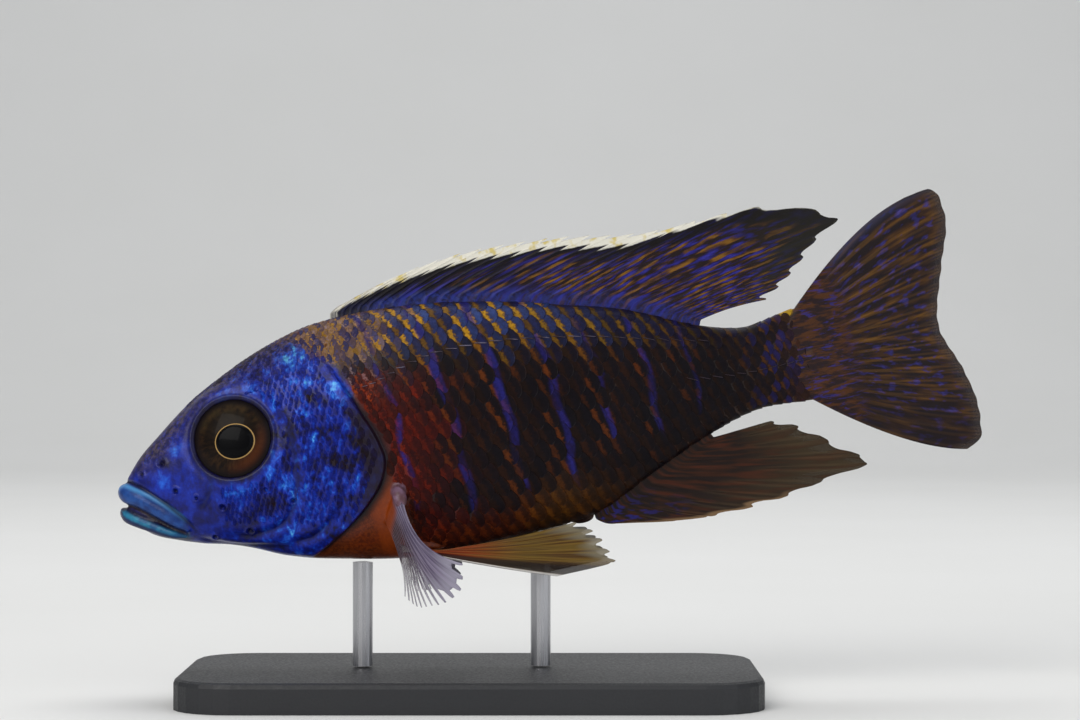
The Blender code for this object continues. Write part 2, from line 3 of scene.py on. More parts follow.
import bpy
import numpy as np
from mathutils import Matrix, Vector


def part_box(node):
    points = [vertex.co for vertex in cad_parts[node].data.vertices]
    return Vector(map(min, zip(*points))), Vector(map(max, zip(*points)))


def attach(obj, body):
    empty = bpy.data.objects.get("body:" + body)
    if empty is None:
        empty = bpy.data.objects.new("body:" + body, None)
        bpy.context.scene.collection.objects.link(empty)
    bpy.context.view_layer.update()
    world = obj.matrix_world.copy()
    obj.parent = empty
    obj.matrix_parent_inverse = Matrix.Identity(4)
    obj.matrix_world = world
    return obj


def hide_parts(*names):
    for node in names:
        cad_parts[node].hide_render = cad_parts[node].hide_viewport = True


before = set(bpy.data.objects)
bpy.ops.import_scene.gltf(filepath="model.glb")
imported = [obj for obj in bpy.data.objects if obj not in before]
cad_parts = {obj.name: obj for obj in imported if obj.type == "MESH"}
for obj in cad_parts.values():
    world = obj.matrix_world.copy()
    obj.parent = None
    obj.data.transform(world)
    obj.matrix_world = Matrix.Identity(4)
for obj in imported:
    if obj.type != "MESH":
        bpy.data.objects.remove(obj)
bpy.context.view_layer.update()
rng = np.random.default_rng(20)

# The fish is made straight and level, in millimetres: s back from the snout tip,
# side positive to its left, z up. posed() bends it, tips it nose down and sets it on the frame.
pose = {
    "noseDown": math.radians(11.5),
    "tailSwing": 10.0,
    "swingFrom": 35.0,
    "totalLength": 131.0,
    "baseMiddle": 53.0,  # of the stand's base, behind the snout tip
    "baseTop": -26.0,
}
baseLow, baseHigh = (np.array(corner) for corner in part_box("stand_base"))
fishOrigin = np.array(
    [
        (baseLow[0] + baseHigh[0]) / 2 - pose["baseMiddle"] * 0.001,
        (baseLow[1] + baseHigh[1]) / 2,
        baseHigh[2] - pose["baseTop"] * 0.001,
    ]
)


def posed(points):
    s, side, z = np.asarray(points, float).T
    back = np.maximum(0.0, s - pose["swingFrom"])
    reach = pose["totalLength"] - pose["swingFrom"]
    turned = np.arctan(2 * pose["tailSwing"] * back / reach**2)
    x = s + side * np.sin(turned)
    y = pose["tailSwing"] * (back / reach) ** 2 - side * np.cos(turned)
    c, d = math.cos(pose["noseDown"]), math.sin(pose["noseDown"])
    return np.stack([x * c - z * d, y, x * d + z * c], 1) * 0.001 + fishOrigin


def curve(table, x):
    # smooth curve through a table's rows: the first column is x, the others are read at x
    rows = np.array(table, float)
    keys, values = rows[:, 0], rows[:, 1:]
    steps = np.diff(keys)
    rises = np.diff(values, axis=0) / steps[:, None]
    inner = rises[:-1] * steps[1:, None] + rises[1:] * steps[:-1, None]
    inner = inner / (steps[1:] + steps[:-1])[:, None]
    slopes = np.concatenate([rises[:1], inner, rises[-1:]])
    x = np.clip(np.asarray(x, float), keys[0], keys[-1])
    i = np.clip(np.searchsorted(keys, x, side="right") - 1, 0, len(keys) - 2)
    t = ((x - keys[i]) / steps[i])[..., None]
    span = steps[i][..., None]
    return (
        values[i] * (1 + 2 * t) * (1 - t) ** 2
        + values[i + 1] * t * t * (3 - 2 * t)
        + slopes[i] * span * t * (1 - t) ** 2
        - slopes[i + 1] * span * t * t * (1 - t)
    )


def ease(t):
    t = np.clip(t, 0.0, 1.0)
    return t * t * (3 - 2 * t)


def hill(distance, width):
    return np.exp(-((distance / width) ** 2))


# Shaders. The helpers add their nodes to the tree that was started last.
building = {}


class Value:
    # an output that adds, subtracts and multiplies like a number
    def __init__(self, socket):
        self.socket = socket

    def __add__(self, other):
        return calc("ADD", self, other)

    def __sub__(self, other):
        return calc("SUBTRACT", self, other)

    def __rsub__(self, other):
        return calc("SUBTRACT", other, self)

    def __mul__(self, other):
        return calc("MULTIPLY", self, other)

    __radd__, __rmul__ = __add__, __mul__


def rgb(red, green, blue):
    # a colour as a picture shows it, 0 to 255, for a shader
    linear = [((v / 255 + 0.055) / 1.055) ** 2.4 if v > 10 else v / 255 / 12.92 for v in (red, green, blue)]
    return (*linear, 1.0)


def fill(sockets, values):
    # links or sets inputs by their names; three numbers in a colour's place are for rgb()
    for key, value in values.items():
        socket = sockets[key]
        if isinstance(value, Value):
            building["tree"].links.new(value.socket, socket)
        elif socket.type == "RGBA" and len(value) == 3:
            socket.default_value = rgb(*value)
        else:
            socket.default_value = value


def node(kind, inputs, **settings):
    made = building["tree"].nodes.new("ShaderNode" + kind)
    for key, value in settings.items():
        setattr(made, key, value)
    fill(made.inputs, inputs)
    return made.outputs


def calc(operation, *values):
    return Value(node("Math", dict(enumerate(values)), operation=operation)[0])


def vectorCalc(operation, a, b, output=0):
    return Value(node("VectorMath", {0: a, 1: b}, operation=operation)[output])


def stretch(value, low, high, toLow=0.0, toHigh=1.0):
    inputs = {"Value": value, "From Min": low, "From Max": high, "To Min": toLow, "To Max": toHigh}
    return Value(node("MapRange", inputs, interpolation_type="SMOOTHSTEP")[0])


def mix(share, a, b, blend="MIX"):
    return Value(node("Mix", {0: share, 6: a, 7: b}, data_type="RGBA", blend_type=blend)[2])


def noise(place, scale, detail=2.0, roughness=0.5, distortion=0.0):
    inputs = {"Vector": place, "Scale": scale, "Detail": detail, "Roughness": roughness}
    return Value(node("TexNoise", inputs | {"Distortion": distortion})["Fac"])


def drawnOut(place, scale):
    return Value(node("Mapping", {"Vector": place, "Scale": scale})[0])


def parts(vector):
    return [Value(part) for part in node("SeparateXYZ", {0: vector})]


def joined(x, y, z):
    return Value(node("CombineXYZ", {0: x, 1: y, 2: z})[0])


def read(name):
    return Value(node("Attribute", {}, attribute_name=name)["Vector"])


def bumped(height, strength, distance):
    return Value(node("Bump", {"Height": height, "Strength": strength, "Distance": distance})[0])


def startGroup(name, inputs, outputs):
    # an input without a value is a vector
    tree = building["tree"] = bpy.data.node_groups.new(name, "ShaderNodeTree")
    for label, value in inputs.items():
        kind = "NodeSocketVector" if value is None else "NodeSocketFloat"
        socket = tree.interface.new_socket(label, in_out="INPUT", socket_type=kind)
        if value is not None:
            socket.default_value = value
    for label, kind in outputs.items():
        tree.interface.new_socket(label, in_out="OUTPUT", socket_type="NodeSocket" + kind)
    given = {socket.name: Value(socket) for socket in tree.nodes.new("NodeGroupInput").outputs}
    return given, tree.nodes.new("NodeGroupOutput").inputs


def useGroup(name, **inputs):
    made = building["tree"].nodes.new("ShaderNodeGroup")
    made.node_tree = bpy.data.node_groups[name]
    fill(made.inputs, inputs)
    return {socket.name: Value(socket) for socket in made.outputs}


def startMaterial(name, **fixed):
    # fixed values go on the shader's own sockets
    material = bpy.data.materials.new(name)
    material.use_nodes = True
    building["tree"] = material.node_tree
    shader = material.node_tree.nodes["Principled BSDF"].inputs
    fill(shader, fixed)
    return material, shader


def coverWet(shader, place, colour, low, high, wet, strength, distance, height=None):
    # colour, the roughness and coat of moist skin, and a fine relief
    film = useGroup("wetFilm", Place=place, Low=low, High=high, Wet=wet)
    relief = bumped(film["Height"] if height is None else height, strength, distance)
    fill(shader, {"Base Color": colour, "Roughness": film["Roughness"], "Coat Weight": film["Coat"],
                  "Normal": relief})


# meshes
def addVectors(mesh, vectors):
    for label, values in vectors.items():
        layer = mesh.attributes.new(label, "FLOAT_VECTOR", "POINT")
        layer.data.foreach_set("vector", np.asarray(values, np.float32).ravel())


def meshPiece(name, points, faces, material, vectors=None):
    mesh = bpy.data.meshes.new(name)
    mesh.from_pydata(np.asarray(points).tolist(), [], [list(f) for f in faces])
    addVectors(mesh, vectors or {})
    mesh.shade_smooth()
    mesh.materials.append(material)
    piece = bpy.data.objects.new(name, mesh)
    bpy.context.scene.collection.objects.link(piece)
    return piece


def gridFaces(rows, columns, closed=False):
    # quads of a grid stored row by row
    r = np.arange(rows - 1)[:, None]
    c = np.arange(columns if closed else columns - 1)[None, :]
    after = (c + 1) % columns
    here, below = r * columns, (r + 1) * columns
    quads = np.stack(np.broadcast_arrays(here + c, here + after, below + after, below + c), -1)
    return quads.reshape(-1, 4)


def meshArrays(mesh):
    points, normals = np.empty((2, len(mesh.vertices) * 3), np.float32)
    mesh.vertices.foreach_get("co", points)
    mesh.vertex_normals.foreach_get("vector", normals)
    return points.reshape(-1, 3).astype(float), normals.reshape(-1, 3).astype(float)


def movePoints(mesh, points):
    mesh.vertices.foreach_set("co", points.astype(np.float32).ravel())
    mesh.update()


def applyModifiers(piece):
    graph = bpy.context.evaluated_depsgraph_get()
    made = bpy.data.meshes.new_from_object(piece.evaluated_get(graph))
    piece.modifiers.clear()
    piece.data = made


def unit(vectors):
    # the same directions, one long
    return vectors / np.linalg.norm(vectors, axis=-1, keepdims=True)


# The body, and in its sections: station, back, belly, half width, height of the widest level
body = {
    "ends": (1.2, 109.8),
    "sections": (
        (1.2, 1.1, -4.5, 2.5, -1.6), (4, 4.3, -6.9, 4.3, -2), (8, 7.5, -8.7, 5.7, -2),
        (13, 11.1, -10.3, 6.9, -1.5), (19, 14.3, -12.2, 7.7, -1), (25, 16.9, -14.7, 8.3, -1),
        (32, 19.1, -16.6, 8.9, -1), (40, 19.7, -18.15, 9, -0.5), (50, 19.15, -18.8, 8.6, 0),
        (60, 17.55, -18.2, 7.7, 0), (70, 15.1, -17.3, 6.4, 0.2), (80, 12.3, -12.9, 4.8, 0.3),
        (90, 7.9, -8.85, 3.5, 0.4), (97, 6.1, -7, 2.8, 0), (105, 7.3, -7.3, 1.3, 0),
        (107, 7.3, -7.3, 0.95, 0), (108.6, 6.9, -6.9, 0.36, 0), (109.8, 6, -6, 0.08, 0),
    ),
    # station, power above the widest level, power below it
    "fullness": (
        (1.2, 0.85, 0.75), (19, 0.8, 0.72), (32, 0.92, 0.8), (50, 1.05, 0.88), (105, 1, 1),
        (109.8, 1, 1),
    ),
    # degrees round from the back, station of the gill cover's edge
    "gillEdge": (
        (0, 33.5), (40, 34.3), (58, 36.3), (74, 38.4), (88, 40.2), (98, 40.6), (108, 39.4), (120, 36.5),
        (132, 33.2), (145, 30), (160, 27.6), (180, 26.5),
    ),
    "coatDepth": 0.24,
    "coatFrom": (22, 12),  # station where room for the scales begins, and over how far
    "coverTurns": (45, 172, 20),  # degrees round where the cover begins and ends, and its fade
    "coverProud": 0.55,
    "coverRamp": 9.0,
    "gillStep": 0.35,
    "gillRamp": 3.5,
    "gillBlend": 0.07,
    "reliefEnds": 45,  # no fold or pit of the head lies further back
}


def sectionAt(s, turn, lift=0.0):
    # points of the smooth body: turn is degrees from the back round the left side
    s, turn = np.broadcast_arrays(np.asarray(s, float), np.asarray(turn, float))
    back, belly, half, level = np.moveaxis(curve(body["sections"], s), -1, 0)
    upper, lower = np.moveaxis(curve(body["fullness"], s), -1, 0)
    up, out = np.cos(np.radians(turn)), np.sin(np.radians(turn))
    power = np.where(up > 0, upper, lower)
    tall = np.where(up > 0, back - level, level - belly)
    side = half * np.sign(out) * np.abs(out) ** power
    away = np.stack([out / half, up / tall])
    away = away / np.linalg.norm(away, axis=0)
    return np.stack([s, side + lift * away[0], level + up * tall + lift * away[1]], -1)


def turnOf(points):
    # degrees round from the back, on either side, for points near the body
    s, _, z = points.T
    back, belly, _, level = curve(body["sections"], s).T
    tall = np.where(z > level, back - level, level - belly)
    up = (z - level) / tall
    return np.degrees(np.arctan2(np.sqrt(np.clip(1 - up**2, 0, 1)), np.clip(up, -1, 1)))


def gillAt(turn):
    return curve(body["gillEdge"], turn)[..., 0]


def coverLift(s, turn, over):
    # height over the smooth section. over is 1 on the gill cover, which stands out, and 0 behind
    # its edge, where the flank dips in under it and lies a scale's depth lower.
    behind = s - gillAt(turn)
    first, last, fade = body["coverTurns"]
    onCover = ease((turn - first) / fade) * ease((last - turn) / fade)
    proud = body["coverProud"] * ease(1 + behind / body["coverRamp"])
    dip = -body["gillStep"] * ease(1 - np.maximum(behind, 0) / body["gillRamp"])
    begins, ramp = body["coatFrom"]
    inset = -body["coatDepth"] * ease((s - begins) / ramp) * (1 - over * onCover)
    return onCover * (over * proud + (1 - over) * dip) + inset


# The mouth. Each lip: degrees round from the front, station, side, height, half height, half thickness
mouth = {
    "upper": (
        (0, 1.15, 0, -0.1, 1.4, 1.15), (30, 2, 2.25, -0.65, 1.4, 1.1), (55, 4.6, 3.75, -2.3, 1.3, 1),
        (75, 7.3, 4.6, -4.7, 1.2, 0.95), (90, 9.9, 4.95, -7.5, 0.75, 0.65),
    ),
    "lower": (
        (0, 0.75, 0, -3.1, 1.15, 1.05), (30, 1.6, 2.1, -3.85, 1.1, 1), (55, 4.3, 3.6, -5.5, 0.95, 0.9),
        (75, 7.1, 4.5, -7.1, 0.8, 0.8), (90, 9.6, 4.9, -8.1, 0.6, 0.6),
    ),
    "steps": 96,
    "round": 24,
    "inside": (12.0, 0.0, -3.0),  # a point that both lips face away from
    "slit": ((-0.5, -1.6), (2.2, -2.35), (4.8, -4.25), (7.4, -6.35), (9.6, -7.75)),
    "slitDepth": 0.3,
    "slitWidth": 0.28,
    "corner": 10.2,  # station where the slit has run out
    "lipWidths": {"upper": 1.75, "lower": 1.4},  # of the lips' colours, either side of their middle line
    "foldDepth": 0.4,
    "foldWidth": 0.3,
    "fold": ((0.6, 1.6), (2.6, 1.3), (5.2, -0.6), (7.8, -3.2), (10.0, -6.0), (11.4, -8.0)),
}


def roundAngles(count):
    return np.radians(np.arange(count) * 360 / count)


def lipTube(table):
    angle = np.linspace(-90, 90, mouth["steps"] + 1)
    s, side, z, tall, thick = curve(table, np.abs(angle)).T
    rounded = np.sqrt(1 - (0.92 * np.clip(np.abs(angle) / 12 - 6.5, 0, 1)) ** 2)
    tall, thick = tall * rounded, thick * rounded
    path = np.stack([s, np.sign(angle) * side, z], 1)
    ahead = np.gradient(path, axis=0)
    out = unit(np.cross(ahead, (0.0, 0.0, 1.0)))
    out = out * np.sign(((path - mouth["inside"]) * out).sum(1))[:, None]
    up = unit(np.cross(out, ahead))
    around = roundAngles(mouth["round"])[None, :, None]
    rings = path[:, None] + out[:, None] * thick[:, None, None] * np.cos(around)
    return rings + up[:, None] * tall[:, None, None] * np.sin(around)


def closedRings(rings):
    # points and faces of a closed solid through rings, its ends fanned to their middles
    count, around = rings.shape[:2]
    points = np.concatenate([rings.reshape(-1, 3), rings[:1].mean(1), rings[-1:].mean(1)])
    faces = [tuple(q) for q in gridFaces(count, around, closed=True)]
    last = (count - 1) * around
    for k in range(around):
        faces.append((count * around, (k + 1) % around, k))
        faces.append((count * around + 1, last + k, last + (k + 1) % around))
    return points, faces


def combined(solids):
    # points and faces of several solids as one
    starts = np.cumsum([0] + [len(points) for points, _ in solids])
    faces = [tuple(v + start for v in f) for start, (_, part) in zip(starts, solids) for f in part]
    return np.concatenate([points for points, _ in solids]), faces


# Eyes: their middles, sizes and where they look, as in the solids
eye = {
    "middle": (19.2, 6.7, 4.75),
    "radius": 5.8,
    "dome": 1.7,
    "depth": 2.7,
    "lookUp": 0.2,
    "lookForward": 0.12,
    "pupil": 0.49,  # share of the radius
    "pupilBack": 0.1,  # shares of the radius
    "pupilDown": 0.13,
    "pupilOval": 1.13,  # its width to its height
    "pupilBulge": 0.3,
    # the skin round the ball, by the distance from its axis
    "orbit": (9.2, 2.6, 0.1),  # where the flat ends, its ramp, its height
    "rim": (6.35, 0.32, 0.22),  # where, width, height
    "socket": (5.85, 0.3, 1.5),  # where, ramp, depth
    "darkRing": (7.3, 1.3),  # where the dark colour ends, and its ramp
}


def eyeFrame(side):
    # middle, outward axis and the two directions across it, in the straight fish
    axis = unit(np.array([-eye["lookForward"], side, eye["lookUp"]]))
    up = unit(np.array([0.0, 0.0, 1.0]) - axis * axis[2])
    return np.array(eye["middle"]) * (1, side, 1), axis, up, np.cross(up, axis)


def fromEye(points, side):
    # how far points lie from the eye's middle along its axis, and from that axis
    middle, axis, _, _ = eyeFrame(side)
    away = points - middle
    height = away @ axis
    return height, np.linalg.norm(away - height[:, None] * axis, axis=1), axis


def lineDistance(points, line, steps=160):
    # distance in side view to a smooth line of (s, z) points, its sign above or below, and the share along
    rows = [(k / (len(line) - 1), *p) for k, p in enumerate(line)]
    share = np.linspace(0, 1, steps)
    path = curve(rows, share)
    ahead = np.gradient(path, axis=0)
    best = np.full(len(points), 1e9)
    sign = np.ones(len(points))
    along = np.zeros(len(points))
    for k in range(steps):
        away = points[:, (0, 2)] - path[k]
        d = np.hypot(away[:, 0], away[:, 1])
        near = d < best
        best[near] = d[near]
        sign[near] = np.sign(ahead[k, 0] * away[near, 1] - ahead[k, 1] * away[near, 0])
        along[near] = share[k]
    return best, sign, along


# Grooves of the head in side view, as points (s, z), and its pits
folds = {
    "grooves": (
        ((14.0, -8.8), (19.5, -9.9), (24.5, -8.8), (27.2, -4.5), (27.9, 1.5), (27.0, 7.5)),
        ((10.6, -8.6), (15.0, -10.6), (20.5, -11.9), (25.5, -12.9)),
        ((12.0, -5.0), (14.5, -2.2), (15.0, 0.2)),
        ((24.0, -12.1), (28.5, -11.6), (32.4, -8.6), (34.0, -4.0)),
    ),
    "grooveDepth": 0.3,
    "grooveWidth": 0.5,
    "roll": (0.35, 1.1, 0.7),  # beside a groove: share of its depth, distance, width
    # station, height, radius: the nostril first, then the canal pores
    "pits": (
        (7.9, 3.3, 0.5), (4.6, 2.2, 0.3), (9.3, -1.2, 0.38), (12.2, -2.8, 0.3), (15.7, -4.9, 0.4),
        (19, -9.2, 0.42), (26.2, -6, 0.35), (22.6, -3.6, 0.3), (13.6, -9, 0.3),
    ),
    "pitDepth": 0.6,  # of one with a radius of pitSize
    "pitSize": 0.4,
    "pitRim": 0.16,
}


def headRelief(points, normals, over=None):
    # moves the skin's points: lips and folds, gill cover, orbit, nostrils and pores
    turn = turnOf(points)
    if over is None:
        behind = (points[:, 0] - gillAt(turn)) / body["gillBlend"]
        over = 1 / (1 + np.exp(np.clip(behind, -30, 30)))
    depth = coverLift(points[:, 0], turn, over)
    near = np.nonzero(points[:, 0] < body["reliefEnds"])[0]
    local = points[near]
    change = np.zeros(len(near))
    onSkin = ease((local[:, 0] - 1.0) / 1.5)
    for groove in folds["grooves"]:
        d, _, along = lineDistance(local, groove)
        ends = ease(along * 6) * ease((1 - along) * 6)
        share, away, width = folds["roll"]
        profile = hill(d, folds["grooveWidth"]) - share * hill(d - away, width)
        change -= folds["grooveDepth"] * profile * ends
    d, _, _ = lineDistance(local, mouth["slit"])
    change -= mouth["slitDepth"] * hill(d, mouth["slitWidth"]) * ease(mouth["corner"] - local[:, 0])
    d, _, along = lineDistance(local, mouth["fold"])
    change -= mouth["foldDepth"] * hill(d, mouth["foldWidth"]) * ease((1 - along) * 4) * onSkin
    for s, z, radius in folds["pits"]:
        r = np.hypot(local[:, 0] - s, local[:, 2] - z) / radius
        change -= folds["pitDepth"] * radius / folds["pitSize"] * hill(r, 0.75)
        change += folds["pitRim"] * hill(r - 1.55, 0.4)
    depth[near] += change
    moved = points + normals * depth[:, None]
    for side in (1, -1):
        # a flat orbit with a low rim, and a socket for the ball
        height, ring, axis = fromEye(moved, side)
        (flat, ramp, high), (rim, wide, tall), (socket, step, deep) = eye["orbit"], eye["rim"], eye["socket"]
        share = ease((flat - ring) / ramp) * (moved[:, 1] * side > 2.0)
        target = high + tall * hill(ring - rim, wide) - deep * ease((socket - ring) / step)
        moved += (share * (target - height))[:, None] * axis
    return moved


def skinZones(points):
    # masks of the markings' areas, from the fish's own shape: head, back and shoulder red
    s, _, z = points.T
    turn = turnOf(points)
    back, _, _, level = curve(body["sections"], s).T
    edge = gillAt(turn)
    wobble = 1.1 * np.sin(0.9 * z + 1.3) + 0.8 * np.sin(1.7 * s + 0.6 * z)
    # the blue runs on a little behind the cover's upper edge, and ends below the nape
    edge = edge + 2.0 * hill(turn - 50, 15)
    head = ease((edge - s + 0.2 + 0.25 * wobble * (turn < 66)) / 0.5)
    nape = curve(markings["napeLine"], s)[..., 0]
    head = head * (1 - ease((z - nape + 0.35 * wobble) / 1.8) * (s > 20))
    up = (z - level) / (back - level)
    (low, ramp), (fades, over) = markings["backFrom"], markings["backFades"]
    backness = ease((up - low + 0.05 * wobble) / ramp) * (0.26 + 0.74 * ease((fades - s) / over))
    begins, ahead, ends, behind = markings["red"]
    top, ramp = markings["redBelow"]
    red = ease((s - begins) / ahead) * ease((ends - s + 2.0 * wobble) / behind) * ease((top - up) / ramp)
    return np.stack([head, backness, red], 1)


def barZones(points):
    # blue-violet bars down the flank, the belly's orange and a wider band round each bar
    s, _, z = points.T
    _, belly, _, level = curve(body["sections"], s).T
    high, (leanAbove, lean) = z - markings["barLevel"], markings["barLean"]
    leaned = s + leanAbove * np.maximum(high, 0) + lean * high + 0.3 * np.sin(0.6 * z + 0.2 * s)
    ahead, wide = markings["besideBar"]
    bars, beside = np.zeros(len(s)), np.zeros(len(s))
    for middle, width, strength in markings["bars"]:
        bars = np.maximum(bars, strength * hill(leaned - middle, width))
        beside = np.maximum(beside, strength * hill(leaned - middle + ahead, wide))
    low = (z - level) / (level - belly)
    share, ramp = markings["barsEnd"]
    fade = ease((low + share) / ramp)
    (share, ramp), (ends, over) = markings["orangeBelow"], markings["bellyEnds"]
    orange = ease((-share - low + 0.16 * hill(s - 65, 7)) / ramp) * ease((ends - s) / over)
    # the throat below the gill cover too
    turn = turnOf(points)
    throat = ease((s - gillAt(turn) - 0.1) / 0.8) * ease((45 - s) / 5) * ease((turn - 110) / 10)
    # on the head the third one holds the bright and dark patches instead
    patches = np.zeros(len(s))
    for spotS, spotZ, radius, strength in markings["patches"]:
        patches += strength * hill(np.hypot(s - spotS, z - spotZ), radius)
    head = skinZones(points)[:, 0]
    third = beside * fade * (1 - head) + np.clip(patches, -1, 1) * head
    return np.stack([bars * fade, np.maximum(orange, throat), third], 1)


def darkZones(points):
    # the gill cover's dark flap and a painted shadow just behind its edge, orange at the pectoral fin's
    # base, dark orbit and vent
    s, side, z = points.T
    turn = turnOf(points)
    behind = s - gillAt(turn)
    # dark flap in front of the gill cover's edge; behind the edge, on the body, it is painted shadow
    inFront, ramp, past, fade = markings["flapAndShadowReach"]
    flapAndShadow = ease((behind + inFront + 1.7 * hill(turn - 96, 20)) / ramp) * ease((past - behind) / fade)
    first, ramp, last, fade = markings["flapAndShadow"]
    lowEnd = last + 13 * ease((behind + 0.2) / 0.6)
    flapAndShadow = flapAndShadow * ease((turn - first) / ramp) * ease((lowEnd - turn) / fade)
    away, _, _ = lineDistance(points, markings["finBase"])
    reach, ramp = markings["finBaseReach"]
    orange = ease((reach - away) / ramp) * ease((behind - 0.1) / 0.5)
    vent = hill(np.hypot(s - skin["vent"][0], 1.3 * (z + 17.9)), skin["ventDark"])
    vent = vent * ease((3.0 - np.abs(side)) / 1.2)
    orbit = np.zeros(len(s))
    dark, ramp = eye["darkRing"]
    for eyeSide in (1, -1):
        _, ring, _ = fromEye(points, eyeSide)
        orbit = np.maximum(orbit, ease((dark - ring) / ramp) * (side * eyeSide > 2.0))
    return np.stack([flapAndShadow, orange, np.maximum(vent, orbit)], 1)


markings = {
    # station of each bar at the lateral line, half width, strength
    "bars": (
        (43.4, 0.6, 0.7), (51.2, 0.68, 1), (59.2, 0.68, 0.95), (66.9, 0.66, 0.9), (73.6, 0.62, 0.8),
        (80.9, 0.6, 0.7), (87.6, 0.55, 0.5),
    ),
    # station, height where the head's blue gives way to the nape
    "napeLine": ((20, 15.4), (24.6, 16.2), (29.4, 16.3), (33.7, 13.8), (37.2, 9), (40, 3)),
    "finBase": ((38.4, -3.6), (39.4, -10.0), (39.6, -15.4)),
    "finBaseReach": (3.0, 1.7),  # how far from that line the orange reaches, and its ramp
    # stations from and to, and the ramp of either
    "red": (30, 5, 54, 12),
    "bellyEnds": (80, 16),
    "backFades": (104, 42),
    # shares of the height over or below the widest level, and their ramps
    "backFrom": (0.45, 0.34),
    "redBelow": (0.62, 0.2),
    "orangeBelow": (0.66, 0.28),
    "barsEnd": (0.95, 0.6),
    "barLean": (0.17, 0.04),  # above the lateral line's level and all over
    "barLevel": 5.0,
    "besideBar": (1.1, 1.3),  # the rust beside a bar: how far in front of it, and how wide
    # the gill cover's dark flap and the painted shadow behind its edge: degrees round where they begin and
    # end, and both ramps
    "flapAndShadow": (62, 16, 128, 18),
    "flapAndShadowReach": (2.4, 1.5, 2.4, 1.8),  # in front of the edge and behind it, each with its ramp
    # middles of the red behind the gill cover's upper end and of the yellow on top of the stalk
    "warmSpot": (39.6, 0.0, 9.4),
    "goldSpot": (103.9, 0.0, 7.4),
    # the head's blues, dark to bright: level and colour
    "blues": (
        (0.4, (23, 8, 21)),
        (0.46, (10, 12, 66)),
        (0.53, (10, 23, 112)),
        (0.6, (14, 42, 156)),
        (0.67, (30, 90, 206)),
        (0.75, (92, 182, 240)),
    ),
    # the head's larger patches: station, height, radius, brightness
    "patches": (
        (29.7, 15.3, 2.2, 1), (31.4, 13.9, 1.6, 0.8), (21.3, 12.2, 2.2, 0.5), (23.1, 10.3, 1.2, 0.5),
        (31.4, 9.9, 1.9, 0.7), (35.2, 9.1, 1.4, 0.8), (29.9, 6.8, 1.2, 0.9), (25.4, 8, 1.4, 0.5),
        (11, 5.3, 1.2, 0.8), (9.8, 4.3, 1, 1), (5.9, 3.6, 1, 0.5), (8, 0.5, 1.6, 0.9),
        (31.7, 1.9, 1.2, 0.9), (28.7, -0.3, 1.2, 0.8), (25.6, 1.2, 0.9, 0.6), (36.3, 3.7, 1.2, 0.6),
        (35.6, -0.5, 1.3, 0.7), (23.7, -1.8, 1, 0.8), (17.4, -4.2, 1.9, 0.8), (21.1, -2.8, 1, 0.7),
        (27.5, -4.5, 1.8, 0.7), (35.5, -6, 1.3, 0.6), (24.5, -9.5, 2.4, 0.5), (8.4, 3.2, 0.8, -1),
        (31, 8.1, 1, -0.9), (34, 7.2, 0.9, -0.9), (27.8, 5.4, 1.4, -0.8), (33.8, 3.4, 1.6, -0.8),
        (37.1, 0.9, 1.4, -0.9), (34.8, -2.5, 1.5, -0.9), (24.2, -4.9, 1.3, -0.7),
        (21.9, -6.2, 1.5, -0.8), (16.3, -5.2, 0.8, -0.8), (27.6, 2.8, 1.5, -0.6),
        (34.2, -7.3, 1.6, -0.6), (19.5, -8.5, 1.6, -0.7), (13.9, -5.1, 2, -0.4),
    ),
}


def ramped(level, stops):
    blend = building["tree"].nodes.new("ShaderNodeValToRGB")
    fill(blend.inputs, {"Fac": level})
    ramp = blend.color_ramp
    for k, (position, colour) in enumerate((stops[0], stops[-1])):
        ramp.elements[k].position, ramp.elements[k].color = position, rgb(*colour)
    for position, colour in stops[1:-1]:
        ramp.elements.new(position).color = rgb(*colour)
    return Value(blend.outputs[0])


